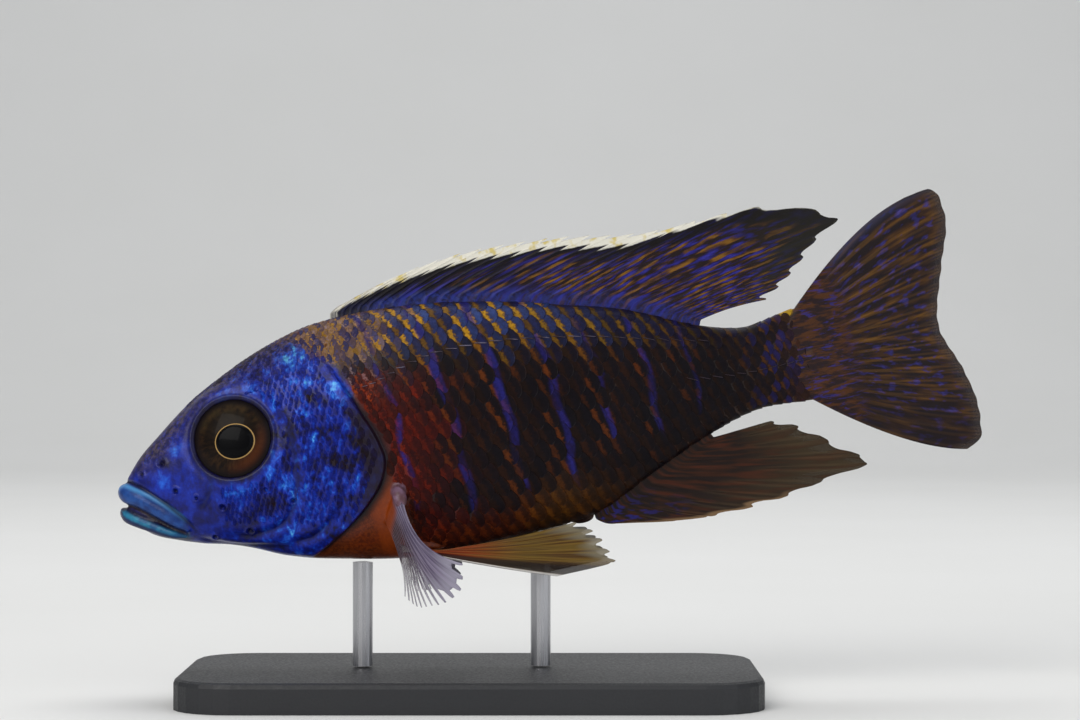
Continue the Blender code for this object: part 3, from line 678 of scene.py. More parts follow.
def addMarkings():
    # base, spot and edge colours of skin and scales from their place on the fish
    inputs = {"Place": None, "Zones": None, "Shade": None, "Dark": None, "Chance": 0.5}
    given, result = startGroup("fishMarkings", inputs, {"Base": "Color", "Spot": "Color", "Edge": "Color"})
    place, chance = given["Place"], given["Chance"]
    head, back, red = parts(given["Zones"])
    bars, belly, beside = parts(given["Shade"])
    flapAndShadow, finBase, orbit = parts(given["Dark"])
    sx, sy, sz = parts(place)

    # head: dark violet patches and bright spots on royal blue
    broad = noise(place, 0.3, 3.0, 0.6, 0.5)
    fine = noise(place, 1.3, 3.0, 0.62, 0.3)
    streak = noise(drawnOut(place, (0.95, 0.8, 0.6)), 1.0, 2.0, 0.55, 0.5)
    level = broad * 0.42 + fine * 0.22 + streak * 0.38 + (chance - 0.5) * 0.04 + 0.05
    # calmer on the snout than on the gill cover
    level = (level - 0.56) * stretch(sx, 12.0, 27.0, 0.5, 1.0) + 0.548
    level = beside * head * 0.1 + level
    blue = ramped(level, markings["blues"])
    # forehead and nape fade to grey olive towards the midline
    topward = stretch(calc("ABSOLUTE", sy), 6.8, 3.0)
    specks = stretch(noise(place, 2.6, 2.0, 0.6), 0.5, 0.62, 1.0, 0.45)
    olive = mix(stretch(fine, 0.4, 0.62), (44, 38, 44), (88, 76, 70))
    headBase = mix(topward * stretch(sz, 0.5, 5.0) * specks * 0.85, blue, olive)
    headBase = mix(flapAndShadow * 0.9, headBase, (22, 8, 14))

    # body: near black flank, red shoulder, orange belly, ochre back
    patch = noise(place, 0.22, 2.0, 0.55, 0.5)
    grain = noise(place, 2.4, 3.0, 0.7)
    flank = mix(stretch(patch, 0.36, 0.64), (13, 6, 7), (42, 20, 9))
    flank = mix(stretch(sx, 84.0, 104.0) * 0.7, flank, (38, 24, 17))
    shoulder = mix(stretch(patch, 0.36, 0.6), (38, 8, 6), (96, 19, 6))
    # brightest just behind the gill cover's upper end
    sideView = joined(sx, 0.0, sz)
    warm = stretch(vectorCalc("DISTANCE", sideView, markings["warmSpot"], "Value"), 5.5, 1.5)
    warm = warm * stretch(grain, 0.35, 0.6)
    shoulder = mix(warm * 0.7, shoulder, (142, 44, 9))
    redShare = red * stretch(patch, 0.28, 0.56, 0.5, 1.0)
    bodyBase = mix(redShare, flank, shoulder)
    orange = mix(stretch(grain, 0.35, 0.65), (76, 29, 8), (116, 50, 11))
    rear = stretch(sx, 54.0, 64.0)
    orange = mix(rear * 0.8, orange, (78, 48, 12))
    bodyBase = mix(belly * 0.8, bodyBase, orange)
    backBase = mix(grain, (26, 20, 26), (52, 42, 36))
    bodyBase = mix(back * 0.8, bodyBase, backBase)

    # spots: few and rust on the flank, ochre with some lilac and brown on the nape
    spotShare = beside * 0.5 + patch * 0.55 + (chance - 0.5) * 0.5 - stretch(sz, 5.0, -6.0, 0.0, 0.16)
    spot = mix(stretch(spotShare, 0.22, 0.9), (26, 12, 8), (94, 44, 11))
    redSpot = mix(chance, (70, 13, 6), (118, 27, 7))
    redSpot = mix(warm, redSpot, (164, 62, 12))
    spot = mix(redShare, spot, redSpot)
    bellySpot = mix(chance, (74, 24, 8), (116, 50, 11))
    bellySpot = mix(rear * 0.8, bellySpot, (92, 58, 14))
    spot = mix(belly * 0.85, spot, bellySpot)
    ochre = mix(stretch(chance, 0.1, 0.8), (92, 62, 18), (184, 134, 28))
    far = stretch(sx, 56.0, 90.0)
    ochre = mix(far, ochre, (72, 56, 18))
    spot = mix(back, spot, ochre)
    napeShare = stretch(sx, 46.0, 36.0) * stretch(sz, 7.0, 10.0)
    odd = mix(stretch(chance, 0.8, 0.9), (124, 104, 112), (92, 48, 24))
    odd = mix(stretch(chance, 0.28, 0.2), odd, (64, 60, 100))
    spot = mix(napeShare * stretch(calc("ABSOLUTE", chance - 0.46), 0.16, 0.26), spot, odd)
    spot = mix(finBase, spot, (168, 70, 12))
    bodyBase = mix(finBase, bodyBase, mix(grain, (104, 40, 9), (142, 60, 12)))

    violet = mix(chance, (26, 20, 80), (40, 38, 122))
    edge = mix(redShare, (13, 8, 16), (60, 10, 7))
    bellyEdge = mix(rear, (52, 18, 8), (56, 34, 11))
    edge = mix(belly * 0.75, edge, bellyEdge)
    steel = mix(chance, (30, 32, 78), (52, 74, 136))
    steel = mix(far, steel, (28, 26, 56))
    edge = mix(back * stretch(grain, 0.3, 0.6, 0.55, 0.95), edge, steel)
    # the nape is mostly ochre, with a fine grain of lilac and brown
    speck = noise(place, 3.4, 2.0, 0.6)
    napeGrain = mix(stretch(speck, 0.42, 0.6), (50, 42, 78), (160, 116, 30))
    napeGrain = mix(stretch(speck, 0.66, 0.74), napeGrain, (136, 114, 122))
    napeOchre = stretch(sx, 50.0, 38.0) * stretch(sz, 10.0, 14.0) * back
    bodyBase = mix(napeOchre * 0.75, bodyBase, napeGrain)
    edge = mix(napeOchre * 0.6, edge, napeGrain)
    # the stalk and the scaled base of the tail: rust and blue dashes
    ahead = stretch(sx, 92.0, 104.0)
    stalkSpot = mix(stretch(chance, 0.25, 0.8), (38, 22, 14), (92, 54, 16))
    spot = mix(ahead * 0.85, spot, stalkSpot)
    stalkEdge = mix(stretch(chance, 0.55, 0.75), (22, 13, 24), (36, 32, 100))
    edge = mix(ahead * 0.8, edge, stalkEdge)
    # where the scales thin out the skin has the tail's own rust and blue
    tailBase = useGroup("tailBase", Place=place)["Color"]
    bodyBase = mix(stretch(sx, 101.0, 106.0), bodyBase, tailBase)
    spot = mix(stretch(sx, 99.5, 105.5), spot, tailBase)
    edge = mix(stretch(sx, 99.5, 105.5), edge, tailBase)
    # the blue of the bars, broken into dashes
    breaks = noise(place, 0.55, 2.0, 0.6)
    barShare = stretch(bars, 0.2, 0.7) * stretch(breaks, 0.4, 0.54, 0.0, 0.95)
    bodyBase = mix(barShare * 0.4, bodyBase, violet)
    spot = mix(barShare * 0.85, spot, violet)
    edge = mix(barShare, edge, violet)
    # a yellow spot on top of the stalk, at the tail's root
    golden = stretch(vectorCalc("DISTANCE", sideView, markings["goldSpot"], "Value"), 1.7, 0.7)
    darkFlapAndShadow, darkRing = flapAndShadow * 0.75, orbit * 0.85
    for colour, label in ((bodyBase, "Base"), (spot, "Spot"), (edge, "Edge")):
        colour = mix(golden, colour, (168, 132, 30))
        # the gill cover's dark flap, and painted shadow just behind its edge
        colour = mix(darkFlapAndShadow, colour, (26, 9, 9))
        colour = mix(head, colour, headBase)
        fill(result, {label: mix(darkRing, colour, (16, 9, 14))})


def addWetFilm():
    # roughness, coat and fine bump of moist skin
    given, result = startGroup("wetFilm", {"Place": None, "Low": 0.22, "High": 0.42, "Wet": 0.2},
                               {"Roughness": "Float", "Coat": "Float", "Height": "Float"})
    film = noise(given["Place"], 0.8, 3.0, 0.6)
    beads = Value(node("TexVoronoi", {"Vector": given["Place"], "Scale": 2.6})["Distance"])
    roughness = film * (given["High"] - given["Low"]) + given["Low"]
    coat = stretch(film, 0.35, 0.6, 0.5, 1.0) * given["Wet"]
    fill(result, {"Roughness": roughness, "Coat": coat, "Height": film * 0.5 + beads * 0.5})


def addTailBase():
    # rust and blue streaks where skin and scales run out on the tail fin
    given, result = startGroup("tailBase", {"Place": None}, {"Color": "Color"})
    drawn = drawnOut(given["Place"], (0.32, 0.4, 1.5))
    rust = stretch(noise(drawn, 0.9, 3.0, 0.6, 0.3), 0.42, 0.62)
    blue = stretch(noise(drawn, 1.3, 3.0, 0.6, 0.5), 0.54, 0.66)
    colour = mix(rust, (33, 18, 20), (72, 40, 15))
    fill(result, {"Color": mix(blue * 0.75, colour, (42, 38, 112))})


addTailBase()
addMarkings()
addWetFilm()


def skinMaterial():
    material, shader = startMaterial("fishSkin", **{"Coat Roughness": 0.15, "Specular IOR Level": 0.2})
    place = read("place")
    chance = noise(place, 1.6, 2.0, 0.6)
    colours = useGroup("fishMarkings", Place=place, Zones=read("zones"), Shade=read("shade"),
                       Dark=read("dark"), Chance=chance)
    upper, lower, height = parts(read("lips"))
    # the first two hold painted shade, in the slit between the lips and in the head's grooves, folds and
    # pits; the third is the knuckle
    gap, creaseShade, knuckle = parts(read("mouth"))
    lipNoise = noise(place, 0.7, 2.0, 0.5)
    steel = mix(stretch(lipNoise, 0.3, 0.7), (16, 46, 104), (32, 76, 144))
    # a painted highlight along the upper lip's top edge
    steel = mix(stretch(height, 0.45, 0.95), steel, (72, 138, 196))
    # the lower lip: teal as a painted highlight down its middle, with painted shade at its borders and over
    # its lower half
    lowerLipShading = mix(stretch(lipNoise, 0.3, 0.7), (22, 78, 120), (44, 128, 158))
    lowerLipShading = mix(stretch(calc("ABSOLUTE", height), 0.24, 0.68), lowerLipShading, (10, 15, 42))
    lowerLipShading = mix(stretch(height, 0.0, -0.5, 0.0, 0.85), lowerLipShading, (11, 20, 58))
    colour = mix(upper * 0.92, colours["Base"], steel)
    colour = mix(lower * 0.92, colour, lowerLipShading)
    # painted shade in the grooves, folds, pits and the slot behind the gill cover
    colour = mix(creaseShade * 0.85, colour, (7, 5, 20))
    # painted shade in the slit between the lips
    colour = mix(gap, colour, (24, 6, 10))
    pink = mix(stretch(lipNoise, 0.35, 0.65), (84, 58, 66), (114, 90, 112))
    colour = mix(knuckle * 0.9, colour, pink)
    coverWet(shader, place, colour, 0.32, 0.5, 0.14, 0.3, 0.00012)
    return material


skin = {
    "stations": 250,
    "around": 176,
    "voxel": 0.18,
    "smoothing": 3,
    "mostTriangles": 260000,
    # fleshy bases of the paired fins: station and degrees round at both ends, thickness, height
    "lobes": (((42.4, 112.0), (38.9, 132.0), 1.0, 1.25), ((39.8, 148.0), (46.5, 159.0), 0.9, 0.7)),
    # the knuckle over the pectoral fin's upper rays: station, degrees round, half lengths, way it points
    "knuckle": (41.6, 114.5, (2.1, 1.0, 1.3), (0.05, 0.4, -0.9)),
    "vent": (67.6, 0.0, -17.6),
    "ventSize": (1.9, 0.8, 0.9),
    "ventDark": 2.3,
    "flip": np.array((1, -1, 1)),  # the straight fish's left is -Y in a right-handed frame
}


def ovalSolid(middle, long, out, across):
    # points and faces of an ellipsoid from its three half axes
    down = np.radians(np.linspace(4, 176, 18))[:, None, None]
    around = roundAngles(28)[None, :, None]
    shell = np.cos(down) * long + np.sin(down) * (np.cos(around) * out + np.sin(around) * across)
    return closedRings(middle + shell)


def lobeSolid(first, last, thick, high, side):
    # a fleshy lobe that lies along the base of a fin
    s, turn = np.array((first, last)).T
    ends, lifted = (sectionAt(s, turn, lift) * (1, side, 1) for lift in (0.0, 1.0))
    out = unit((lifted - ends).mean(0))
    long = (ends[1] - ends[0]) / 2
    return ovalSolid(ends.mean(0), long, out * high, unit(np.cross(long, out)) * thick)


def knuckleAxes():
    # middle and half axes of the left knuckle
    s, turn, (long, out, across), way = skin["knuckle"]
    foot, over = sectionAt([s, s], [turn, turn], np.array([0.0, 1.0]))
    way = unit(np.array(way))
    outward = unit((over - foot) - way * ((over - foot) @ way))
    middle = foot + 0.6 * (over - foot) + 0.6 * way
    return middle, way * long, outward * out, np.cross(way, outward) * across


def buildSkin():
    # one closed skin round body, lips and the fins' fleshy bases, then the head's relief
    front, rear = body["ends"]
    share = np.linspace(0, 1, skin["stations"])
    stations = front + (rear - front) * (0.75 * share + 0.25 * share**2)
    turns = np.arange(skin["around"]) * 360.0 / skin["around"]
    solids = [closedRings(sectionAt(*np.meshgrid(stations, turns, indexing="ij")))]
    solids += [closedRings(lipTube(mouth[lip])) for lip in ("upper", "lower")]
    for lobe in skin["lobes"]:
        solids += [lobeSolid(*lobe, side) for side in (1, -1)]
    for side in (1, -1):
        solids.append(ovalSolid(*(part * (1, side, 1) for part in knuckleAxes())))
    solids.append(ovalSolid(np.array(skin["vent"]), *np.diag(skin["ventSize"])))
    points, faces = combined(solids)
    flip = skin["flip"]
    piece = meshPiece("fish_skin", points * flip, faces, skinMaterial())
    remesh = piece.modifiers.new("remesh", "REMESH")
    remesh.mode = "VOXEL"
    remesh.voxel_size = skin["voxel"]
    relax = piece.modifiers.new("relax", "SMOOTH")
    relax.iterations = skin["smoothing"]
    relax.factor = 0.5
    applyModifiers(piece)
    local, normals = meshArrays(piece.data)
    movePoints(piece.data, headRelief(local * flip, normals * flip) * flip)
    triangles = len(piece.data.loops) - 2 * len(piece.data.polygons)
    print("skin before thinning:", triangles, "triangles")
    if triangles > skin["mostTriangles"]:
        fewer = piece.modifiers.new("fewer", "DECIMATE")
        fewer.ratio = skin["mostTriangles"] / triangles
        applyModifiers(piece)
    straight = meshArrays(piece.data)[0] * flip
    addVectors(piece.data, skinMasks(straight))
    movePoints(piece.data, posed(straight))
    piece.data.shade_smooth()
    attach(piece, "root")
    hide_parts("head", "torso", "tail_stalk")
    print("skin:", len(piece.data.polygons), "faces")


def skinMasks(points):
    # what the skin's colours read at each point
    s, side, z = points.T
    front = ease((10.4 - s) / 1.2)
    masks = {}
    for word, wide in mouth["lipWidths"].items():
        away, sign, _ = lineDistance(points, [(row[1], row[3]) for row in mouth[word]])
        masks[word] = ease((wide - away) / 0.35) * front
        masks[word + "Height"] = np.clip(away * sign / wide * 1.25, -1, 1)
    gap, above, _ = lineDistance(points, mouth["slit"])
    isUpper = above > 0
    height = np.where(isUpper, masks["upperHeight"], masks["lowerHeight"])
    lips = np.stack([masks["upper"] * isUpper, masks["lower"] * ~isUpper, height], 1)
    # painted shade along the slit between the lips
    slitShadeMask = hill(gap, 0.4) * ease((10.0 - s) / 0.8)
    # painted shade in the fold above the upper lip, the head's grooves and pits, and the slot behind the
    # gill cover's edge
    fold, _, _ = lineDistance(points, mouth["fold"])
    creaseShade = hill(fold, 0.35) * ease((11.6 - s) / 1.0)
    for groove in folds["grooves"]:
        d, _, along = lineDistance(points, groove)
        creaseShade = np.maximum(creaseShade, 0.7 * hill(d, 0.45) * ease(along * 5) * ease((1 - along) * 5))
    for pitS, pitZ, radius in folds["pits"]:
        creaseShade = np.maximum(creaseShade, hill(np.hypot(s - pitS, z - pitZ) / radius, 0.85))
    turn = turnOf(points)
    slot = hill(s - gillAt(turn) - 0.25, 0.4) * ease((turn - 55) / 15) * ease((165 - turn) / 15)
    creaseShade = np.maximum(creaseShade, slot)
    middle, *axes = knuckleAxes()
    away = np.stack([s, np.abs(side), z], 1) - middle
    fromKnuckle = np.sqrt(sum((away @ axis / (axis @ axis)) ** 2 for axis in axes))
    knuckle = ease((1.3 - fromKnuckle) / 0.35)
    return {
        "place": points,
        "zones": skinZones(points),
        "shade": barZones(points),
        "dark": darkZones(points),
        "lips": lips,
        "mouth": np.stack([slitShadeMask, creaseShade, knuckle], 1),
    }


buildSkin()


# Scales: columns a pitch apart along the body, rows that follow the upper lateral line
scales = {
    # station, pitch along the body, spacing of the rows
    "pitch": (
        (12, 0.7, 0.8), (20, 0.74, 0.85), (30, 0.85, 1.02), (37, 1.06, 1.3), (43.5, 1.52, 1.85),
        (51, 2.1, 2.35), (60, 2.3, 2.45), (75, 2.2, 2.35), (95, 1.75, 1.75), (104, 1.35, 1.35),
        (112, 0.95, 1.1),
    ),
    "lateral": (
        (12, 8), (20, 9), (33, 9.2), (40.5, 8.6), (44.4, 9.9), (48.5, 11.1), (54, 11.5), (60.8, 11.2),
        (66.7, 10.4), (72.6, 9.4), (78.5, 8), (84.3, 6.6), (90.2, 5.2), (104, 3.2), (112, 3),
    ),
    "from": 12.6,
    "to": 106.5,
    "thins": (104.2, 2.4, 0.4),  # from, over how far, and the share left out
    "settles": (103.5, 3.0, 0.14),  # from, over how far, how deep
    "length": 1.95,  # of the pitch
    "width": 1.72,  # of the row spacing
    "rise": 0.12,
    "cheekRise": 0.05,
    "thick": 0.05,
    "along": (0.0, 0.3, 0.52, 0.72, 0.88, 0.96, 1.0),
    "across": (-1.0, -0.74, -0.4, 0.0, 0.4, 0.74, 1.0),
    "shown": 0.66,  # the middle of what shows, as a share of the length
    "sunk": 0.07,  # how deep a root lies
    "arch": 0.1,
    "roundness": 0.93,
    "spread": {"tilt": 0.05, "size": 0.03, "lift": 0.012},  # of the random differences
    # where the first ones start: behind the gill cover, round the eye, and on the cheek
    "behindGill": 0.55,
    "roundEye": 7.7,
    "cheekFrom": 15.5,
    "patch": 0.0035,  # of the bake's picture for one scale
}


def arcTables():
    # for each station: how far round the skin each turn lies, from the back
    stations = np.linspace(body["ends"][0], body["ends"][1] - 0.1, 440)
    turns = np.linspace(0, 180, 361)
    s, turn = np.meshgrid(stations, turns, indexing="ij")
    points = sectionAt(s, turn)
    steps = np.linalg.norm(np.diff(points[:, :, 1:], axis=1), axis=2)
    arcs = np.concatenate([np.zeros((len(stations), 1)), np.cumsum(steps, axis=1)], axis=1)
    return stations, turns, arcs


arcStations, arcTurns, arcs = arcTables()


def turnAtArc(s, arc):
    # degrees round for a distance from the back, beyond either end round the other side
    half = np.interp(s, arcStations, arcs[:, -1])
    row = np.interp(s, arcStations, np.arange(len(arcStations)))
    low = np.clip(row.astype(int), 0, len(arcStations) - 2)
    share = row - low
    folded = np.where(arc < 0, -arc, np.where(arc > half, 2 * half - arc, arc))
    turn = np.empty(len(s))
    for k in np.unique(low):
        here = low == k
        a = np.interp(folded[here] / half[here], arcs[k] / arcs[k, -1], arcTurns)
        b = np.interp(folded[here] / half[here], arcs[k + 1] / arcs[k + 1, -1], arcTurns)
        turn[here] = a + (b - a) * share[here]
    return np.where(arc < 0, -turn, np.where(arc > half, 360 - turn, turn))


def skinPoint(s, arc, side, lift, over):
    # points over the skin, a distance round from the back on one side
    turn = turnAtArc(s, arc)
    points = sectionAt(s, turn)
    away = sectionAt(s, turn, 1.0) - points
    if over:
        points = headRelief(points, away, np.ones(len(s)))
    else:
        depth = coverLift(s, np.abs((turn + 180) % 360 - 180), 0.0)
        points = points + away * depth[:, None]
    return (points + away * lift[:, None]) * (1, side, 1)


def scaleRoots():
    # middle of each scale on one side: station, distance round, pitch, spacing, row, and 1 on the head
    found = []
    s, column = scales["from"], 0
    while s < scales["to"]:
        pitch, spacing = curve(scales["pitch"], s)
        lateral = curve(scales["lateral"], s)[0]
        half = np.interp(s, arcStations, arcs[:, -1])
        back, _, _, level = curve(body["sections"], s)
        turn = math.degrees(math.acos(np.clip((lateral - level) / (back - level), -1, 1)))
        k = int(np.interp(s, arcStations, np.arange(len(arcStations))))
        reference = np.interp(turn, arcTurns, arcs[k])
        for row in range(-24, 48):
            arc = reference + row * spacing
            if (row + column) % 2 == 0 and 0.12 * spacing < arc < half + 0.1 * spacing:
                found.append((s, arc, pitch, spacing, row, 0.0))
        s += pitch / 2
        column += 1
    roots = np.array(found)
    s, arc = roots[:, 0], roots[:, 1]
    turn = turnAtArc(s, arc)
    points = sectionAt(s, turn)
    behind = s - gillAt(turn)
    nape = turn < 47
    roots[:, 5] = (behind < 0) & ~nape
    _, ring, _ = fromEye(points, 1)
    onNape = (s > 12 + 0.06 * turn) & (ring > scales["roundEye"])
    keep = np.where(nape, onNape, behind > scales["behindGill"])
    ridge, _, _ = lineDistance(points, folds["grooves"][0])
    jaw = np.interp(s, *np.transpose(folds["grooves"][1]))
    cheek = (ring > 7.6) & (ridge > 0.75) & (points[:, 2] > jaw + 0.8) & (behind < -1.5)
    cheek &= (s > scales["cheekFrom"]) & (turn < 128) & (points[:, 2] > -9.5 - 0.25 * (s - 20))
    # none on the smooth base of the pectoral fin, and over the tail's base they thin out
    bare, _, _ = lineDistance(points, markings["finBase"])
    keep &= (bare > 2.3) & ~((s < 40.5) & (turn > 117))
    begins, over, share = scales["thins"]
    keep &= rng.random(len(s)) > share * ease((s - begins) / over)
    return roots[keep | ((roots[:, 5] > 0) & cheek)]


def scaleShape():
    # one scale in its own frame: t from root to free edge, w across
    grid = []
    for along in scales["along"]:
        for across in scales["across"]:
            reach = math.sqrt(1 - (scales["roundness"] * across) ** 2)
            edge = 0.42 + 0.58 * reach
            width = 1.0 if along > 0.3 else 0.72 + 0.28 * math.sqrt(along / 0.3)
            grid.append((along * edge, across * width))
    return np.array(grid)


def scaleMaterial():
    material, shader = startMaterial("fishScales", **{"Coat Roughness": 0.2, "Specular IOR Level": 0.08})
    place, root, zones = read("place"), read("root"), read("zones")
    t, w, chance = parts(read("scale"))
    # one colour to a scale on the body, but the head's marbling runs on over them
    onHead = parts(zones)[0]
    shift = vectorCalc("SUBTRACT", place, root)
    shift = Value(node("VectorMath", {0: shift, "Scale": onHead}, operation="SCALE")[0])
    where = vectorCalc("ADD", root, shift)
    colours = useGroup("fishMarkings", Place=where, Zones=zones, Shade=read("shade"), Dark=read("dark"),
                       Chance=chance)
    # a tall dash in the front half of what shows, and a streak behind it; they lean, so that they
    # join up from row to row
    wSquared = w * w
    front = w * -0.16 + (wSquared * 0.1 + t)
    ragged = noise(place, 2.2, 3.0, 0.65)
    # the nape's small scales break the lines up
    rough = stretch(parts(root)[0], 50.0, 38.0, 0.38, 1.1)
    front = (ragged - 0.5) * rough + front
    spotMask = stretch(front, 0.4, 0.55) * stretch(front, 0.72, 0.58) * stretch(wSquared, 1.0, 0.4)
    edgeMask = stretch(front, 0.62, 0.78) * stretch(front, 1.06, 0.9)
    colour = mix(spotMask, colours["Base"], colours["Spot"])
    colour = mix(edgeMask * 0.9, colour, colours["Edge"])
    grains = stretch(noise(place, 1.8, 3.0, 0.7), 0.3, 0.7, 0.62, 1.0)
    colour = mix(1.0, colour, joined(grains, grains, grains), "MULTIPLY")
    # fine growth rings and the comb at the free edge
    rings = node("TexWave", {"Vector": joined(t, 0.0, 0.0), "Scale": 9.0, "Distortion": 0.6})["Fac"]
    comb = node("TexWave", {"Vector": joined(w, 0.0, 0.0), "Scale": 6.0, "Distortion": 0.4})["Fac"]
    coverWet(shader, place, colour, 0.36, 0.54, 0.05, 0.25, 0.00003, Value(rings) + Value(comb))
    return material


def scaleFaces(count):
    # both faces of one scale and the rim between them
    along, across = len(scales["along"]), len(scales["across"])
    top = gridFaces(along, across)
    ring = list(range(across)) + [across * k + across - 1 for k in range(1, along)]
    ring += [across * (along - 1) + k for k in range(across - 2, -1, -1)]
    ring += [across * k for k in range(along - 2, 0, -1)]
    after = ring[1:] + ring[:1]
    rim = [(a, a + count, b + count, b) for a, b in zip(ring, after)]
    return np.concatenate([top[:, ::-1], top + count, np.array(rim)])


def buildScales(name, roots, side, over, rise, material):
    shape = scaleShape()
    count, n = len(shape), len(roots)
    spread = scales["spread"]
    tilt = rng.normal(0, spread["tilt"], n)
    size = 1 + rng.normal(0, spread["size"], n)
    lifted = rng.normal(0, spread["lift"], n)
    chance = rng.random(n)
    s0, arc0, pitch, spacing = roots.T[:4]
    length = scales["length"] * pitch * size
    width = scales["width"] * spacing * size / 2
    t, w = shape[:, 0][None], shape[:, 1][None]
    # the middle of what shows lies on the root's own place
    ds = (t - scales["shown"]) * length[:, None]
    da = w * width[:, None] + tilt[:, None] * ds
    ds = ds - tilt[:, None] * w * width[:, None]
    arch = -scales["arch"] * (spacing / 2.6)[:, None] * w**2
    lift = -scales["sunk"] + (0.1 + rise * (pitch / 2.2)[:, None]) * t**1.15 + arch + lifted[:, None]
    # they sink into the smooth throat and the tail's base
    settle = 0.2 * ease((43.5 - s0) / 3) * ease((turnAtArc(s0, arc0) - 112) / 8) * (not over)
    begins, far, deep = scales["settles"]
    lift = lift - (settle + deep * ease((s0 - begins) / far))[:, None]
    station = (s0[:, None] + ds).ravel()
    arc = (arc0[:, None] + da).ravel()
    thick = scales["thick"] * (0.55 + 0.45 * (1 - t)) * np.ones_like(lift)
    faceUp = skinPoint(station, arc, side, lift.ravel(), over)
    faceDown = skinPoint(station, arc, side, (lift - thick).ravel(), over)
    points = np.stack([faceUp.reshape(n, count, 3), faceDown.reshape(n, count, 3)], 1).reshape(-1, 3)
    middle = skinPoint(s0, arc0, side, np.zeros(n), over)
    zones = skinZones(middle)
    if over:
        zones[:, 0] = 1.0
    else:
        zones[(middle[:, 0] - gillAt(turnOf(middle)) > 0) & (turnOf(middle) > 64), 0] = 0.0
    local = [np.broadcast_to(values, lift.shape) for values in (t, w, chance[:, None])]
    local = np.stack([np.stack(local, -1)] * 2, 1).reshape(-1, 3)
    faces = (scaleFaces(count)[None] + (np.arange(n) * 2 * count)[:, None, None]).reshape(-1, 4)
    if side > 0:
        faces = faces[:, ::-1]
    ofScale = {"root": middle, "zones": zones, "dark": darkZones(middle), "shade": barZones(middle)}
    vectors = {label: np.repeat(values, 2 * count, axis=0) for label, values in ofScale.items()}
    vectors |= {"place": points, "scale": local}
    # the bars run on over a scale
    vectors["shade"][:, 0] = barZones(points)[:, 0]
    piece = meshPiece(name, posed(points), faces, material, vectors)
    # each scale has a small patch of the bake's picture to itself
    half = np.interp(s0, arcStations, arcs[:, -1])
    patchU = np.repeat(0.02 + 0.95 * (s0 - 12) / 104, 2 * count) + (local[:, 0] - 0.5) * scales["patch"]
    patchV = np.repeat(0.5 + side * (0.02 + 0.46 * arc0 / half), 2 * count)
    patchV = patchV + local[:, 1] * 0.5 * scales["patch"]
    uv = piece.data.uv_layers.new(name="OFBake")
    corners = np.empty(len(piece.data.loops), np.int32)
    piece.data.loops.foreach_get("vertex_index", corners)
    uv.data.foreach_set("uv", np.stack([patchU, patchV], 1)[corners].astype(np.float32).ravel())
    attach(piece, "root")
    print(name + ":", n, "of", len(piece.data.polygons), "faces")


def dressInScales():
    roots = scaleRoots()
    onHead = roots[:, 5] > 0
    material = scaleMaterial()
    for side, word in ((1, "left"), (-1, "right")):
        buildScales("scales_" + word, roots[~onHead], side, False, scales["rise"], material)
        buildScales("cheek_scales_" + word, roots[onHead], side, True, scales["cheekRise"], material)
    buildLateralLine(roots)


lateralLine = {
    "length": 1.8,
    "radius": 0.085,
    "upperEnds": 91.0,
    "lowerStarts": 84.0,
    "lowerHeight": -0.6,
    # along each tube, -1 to 1, and its radius there
    "profile": ((-1.0, 0.15), (-0.86, 0.7), (-0.4, 1.0), (0.1, 1.0), (0.6, 0.95), (0.92, 0.7), (1.0, 0.15)),
}


def buildLateralLine(roots):
    # small pale tubes, one to a scale, along the upper and lower lateral lines
    material, shader = startMaterial("lateralTubes", **{"Specular IOR Level": 0.2})
    place = read("place")
    clouds = stretch(noise(place, 0.5, 2.0, 0.6), 0.4, 0.62)
    far = stretch(parts(place)[0], 62.0, 84.0)
    pale = mix(clouds, (46, 34, 40), mix(far, (96, 90, 108), (50, 42, 52)))
    coverWet(shader, place, pale, 0.3, 0.5, 0.0, 0.3, 0.00005)
    s, arc, _, _, row, onHead = roots.T
    points = sectionAt(s, turnAtArc(s, arc))
    upper = (row == 0) & (onHead == 0) & (s > 37) & (s < lateralLine["upperEnds"])
    lower = (np.abs(points[:, 2] - lateralLine["lowerHeight"]) < 0.72) & (s > lateralLine["lowerStarts"])
    t, profile = np.array(lateralLine["profile"]).T
    around = roundAngles(8)
    tubes = []
    for s0, arc0, pitch0 in roots[upper | lower][:, :3]:
        long = lateralLine["length"] * pitch0 / 2.2
        wide = (lateralLine["radius"] * pitch0 / 2.2 * profile)[:, None]
        for side in (1, -1):
            station = np.repeat(s0 + 0.15 * pitch0 + t * long / 2, 8)
            across = arc0 + (wide * np.cos(around)).ravel()
            rise = np.repeat(0.08 + 0.11 * (t + 1) / 2, 8) + (wide * np.sin(around)).ravel()
            tube, faces = closedRings(skinPoint(station, across, side, rise, False).reshape(7, 8, 3))
            tubes.append((tube, [f[::side] for f in faces]))
    points, faces = combined(tubes)
    piece = meshPiece("lateral_line", posed(points), faces, material, {"place": points})
    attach(piece, "root")
    print("lateral line:", len(tubes), "tubes")


dressInScales()


# Fins: the same middle surfaces as in the solids, with finer rays. In each look, in millimetres and shares:
# notch, hold and slope shape the bays between soft rays, and flag the membrane behind a spine. ray, spread
# and taper are a ray's ridge, and root, rootShare and cornered the flesh at the fin's base.
finBasics = {
    "webbed": 0.0,  # share of the fin where the bays stay shallow
    "membrane": 0.2,
    "sunk": -0.03,  # how far the root reaches in, a share of the ray
    # a soft ray forks twice: each time from which share of it on, over how much, and how far apart
    "forks": ((0.3, 0.4, 0.17), (0.62, 0.38, 0.085)),
}


def bowed(root, bend, tip, t):
    t = np.asarray(t)[:, None]
    return root * (1 - t) ** 2 + 2 * bend * t * (1 - t) + tip * t * t


def stack3(a, b, c):
    return np.stack(np.broadcast_arrays(a, b, c), -1).astype(float)


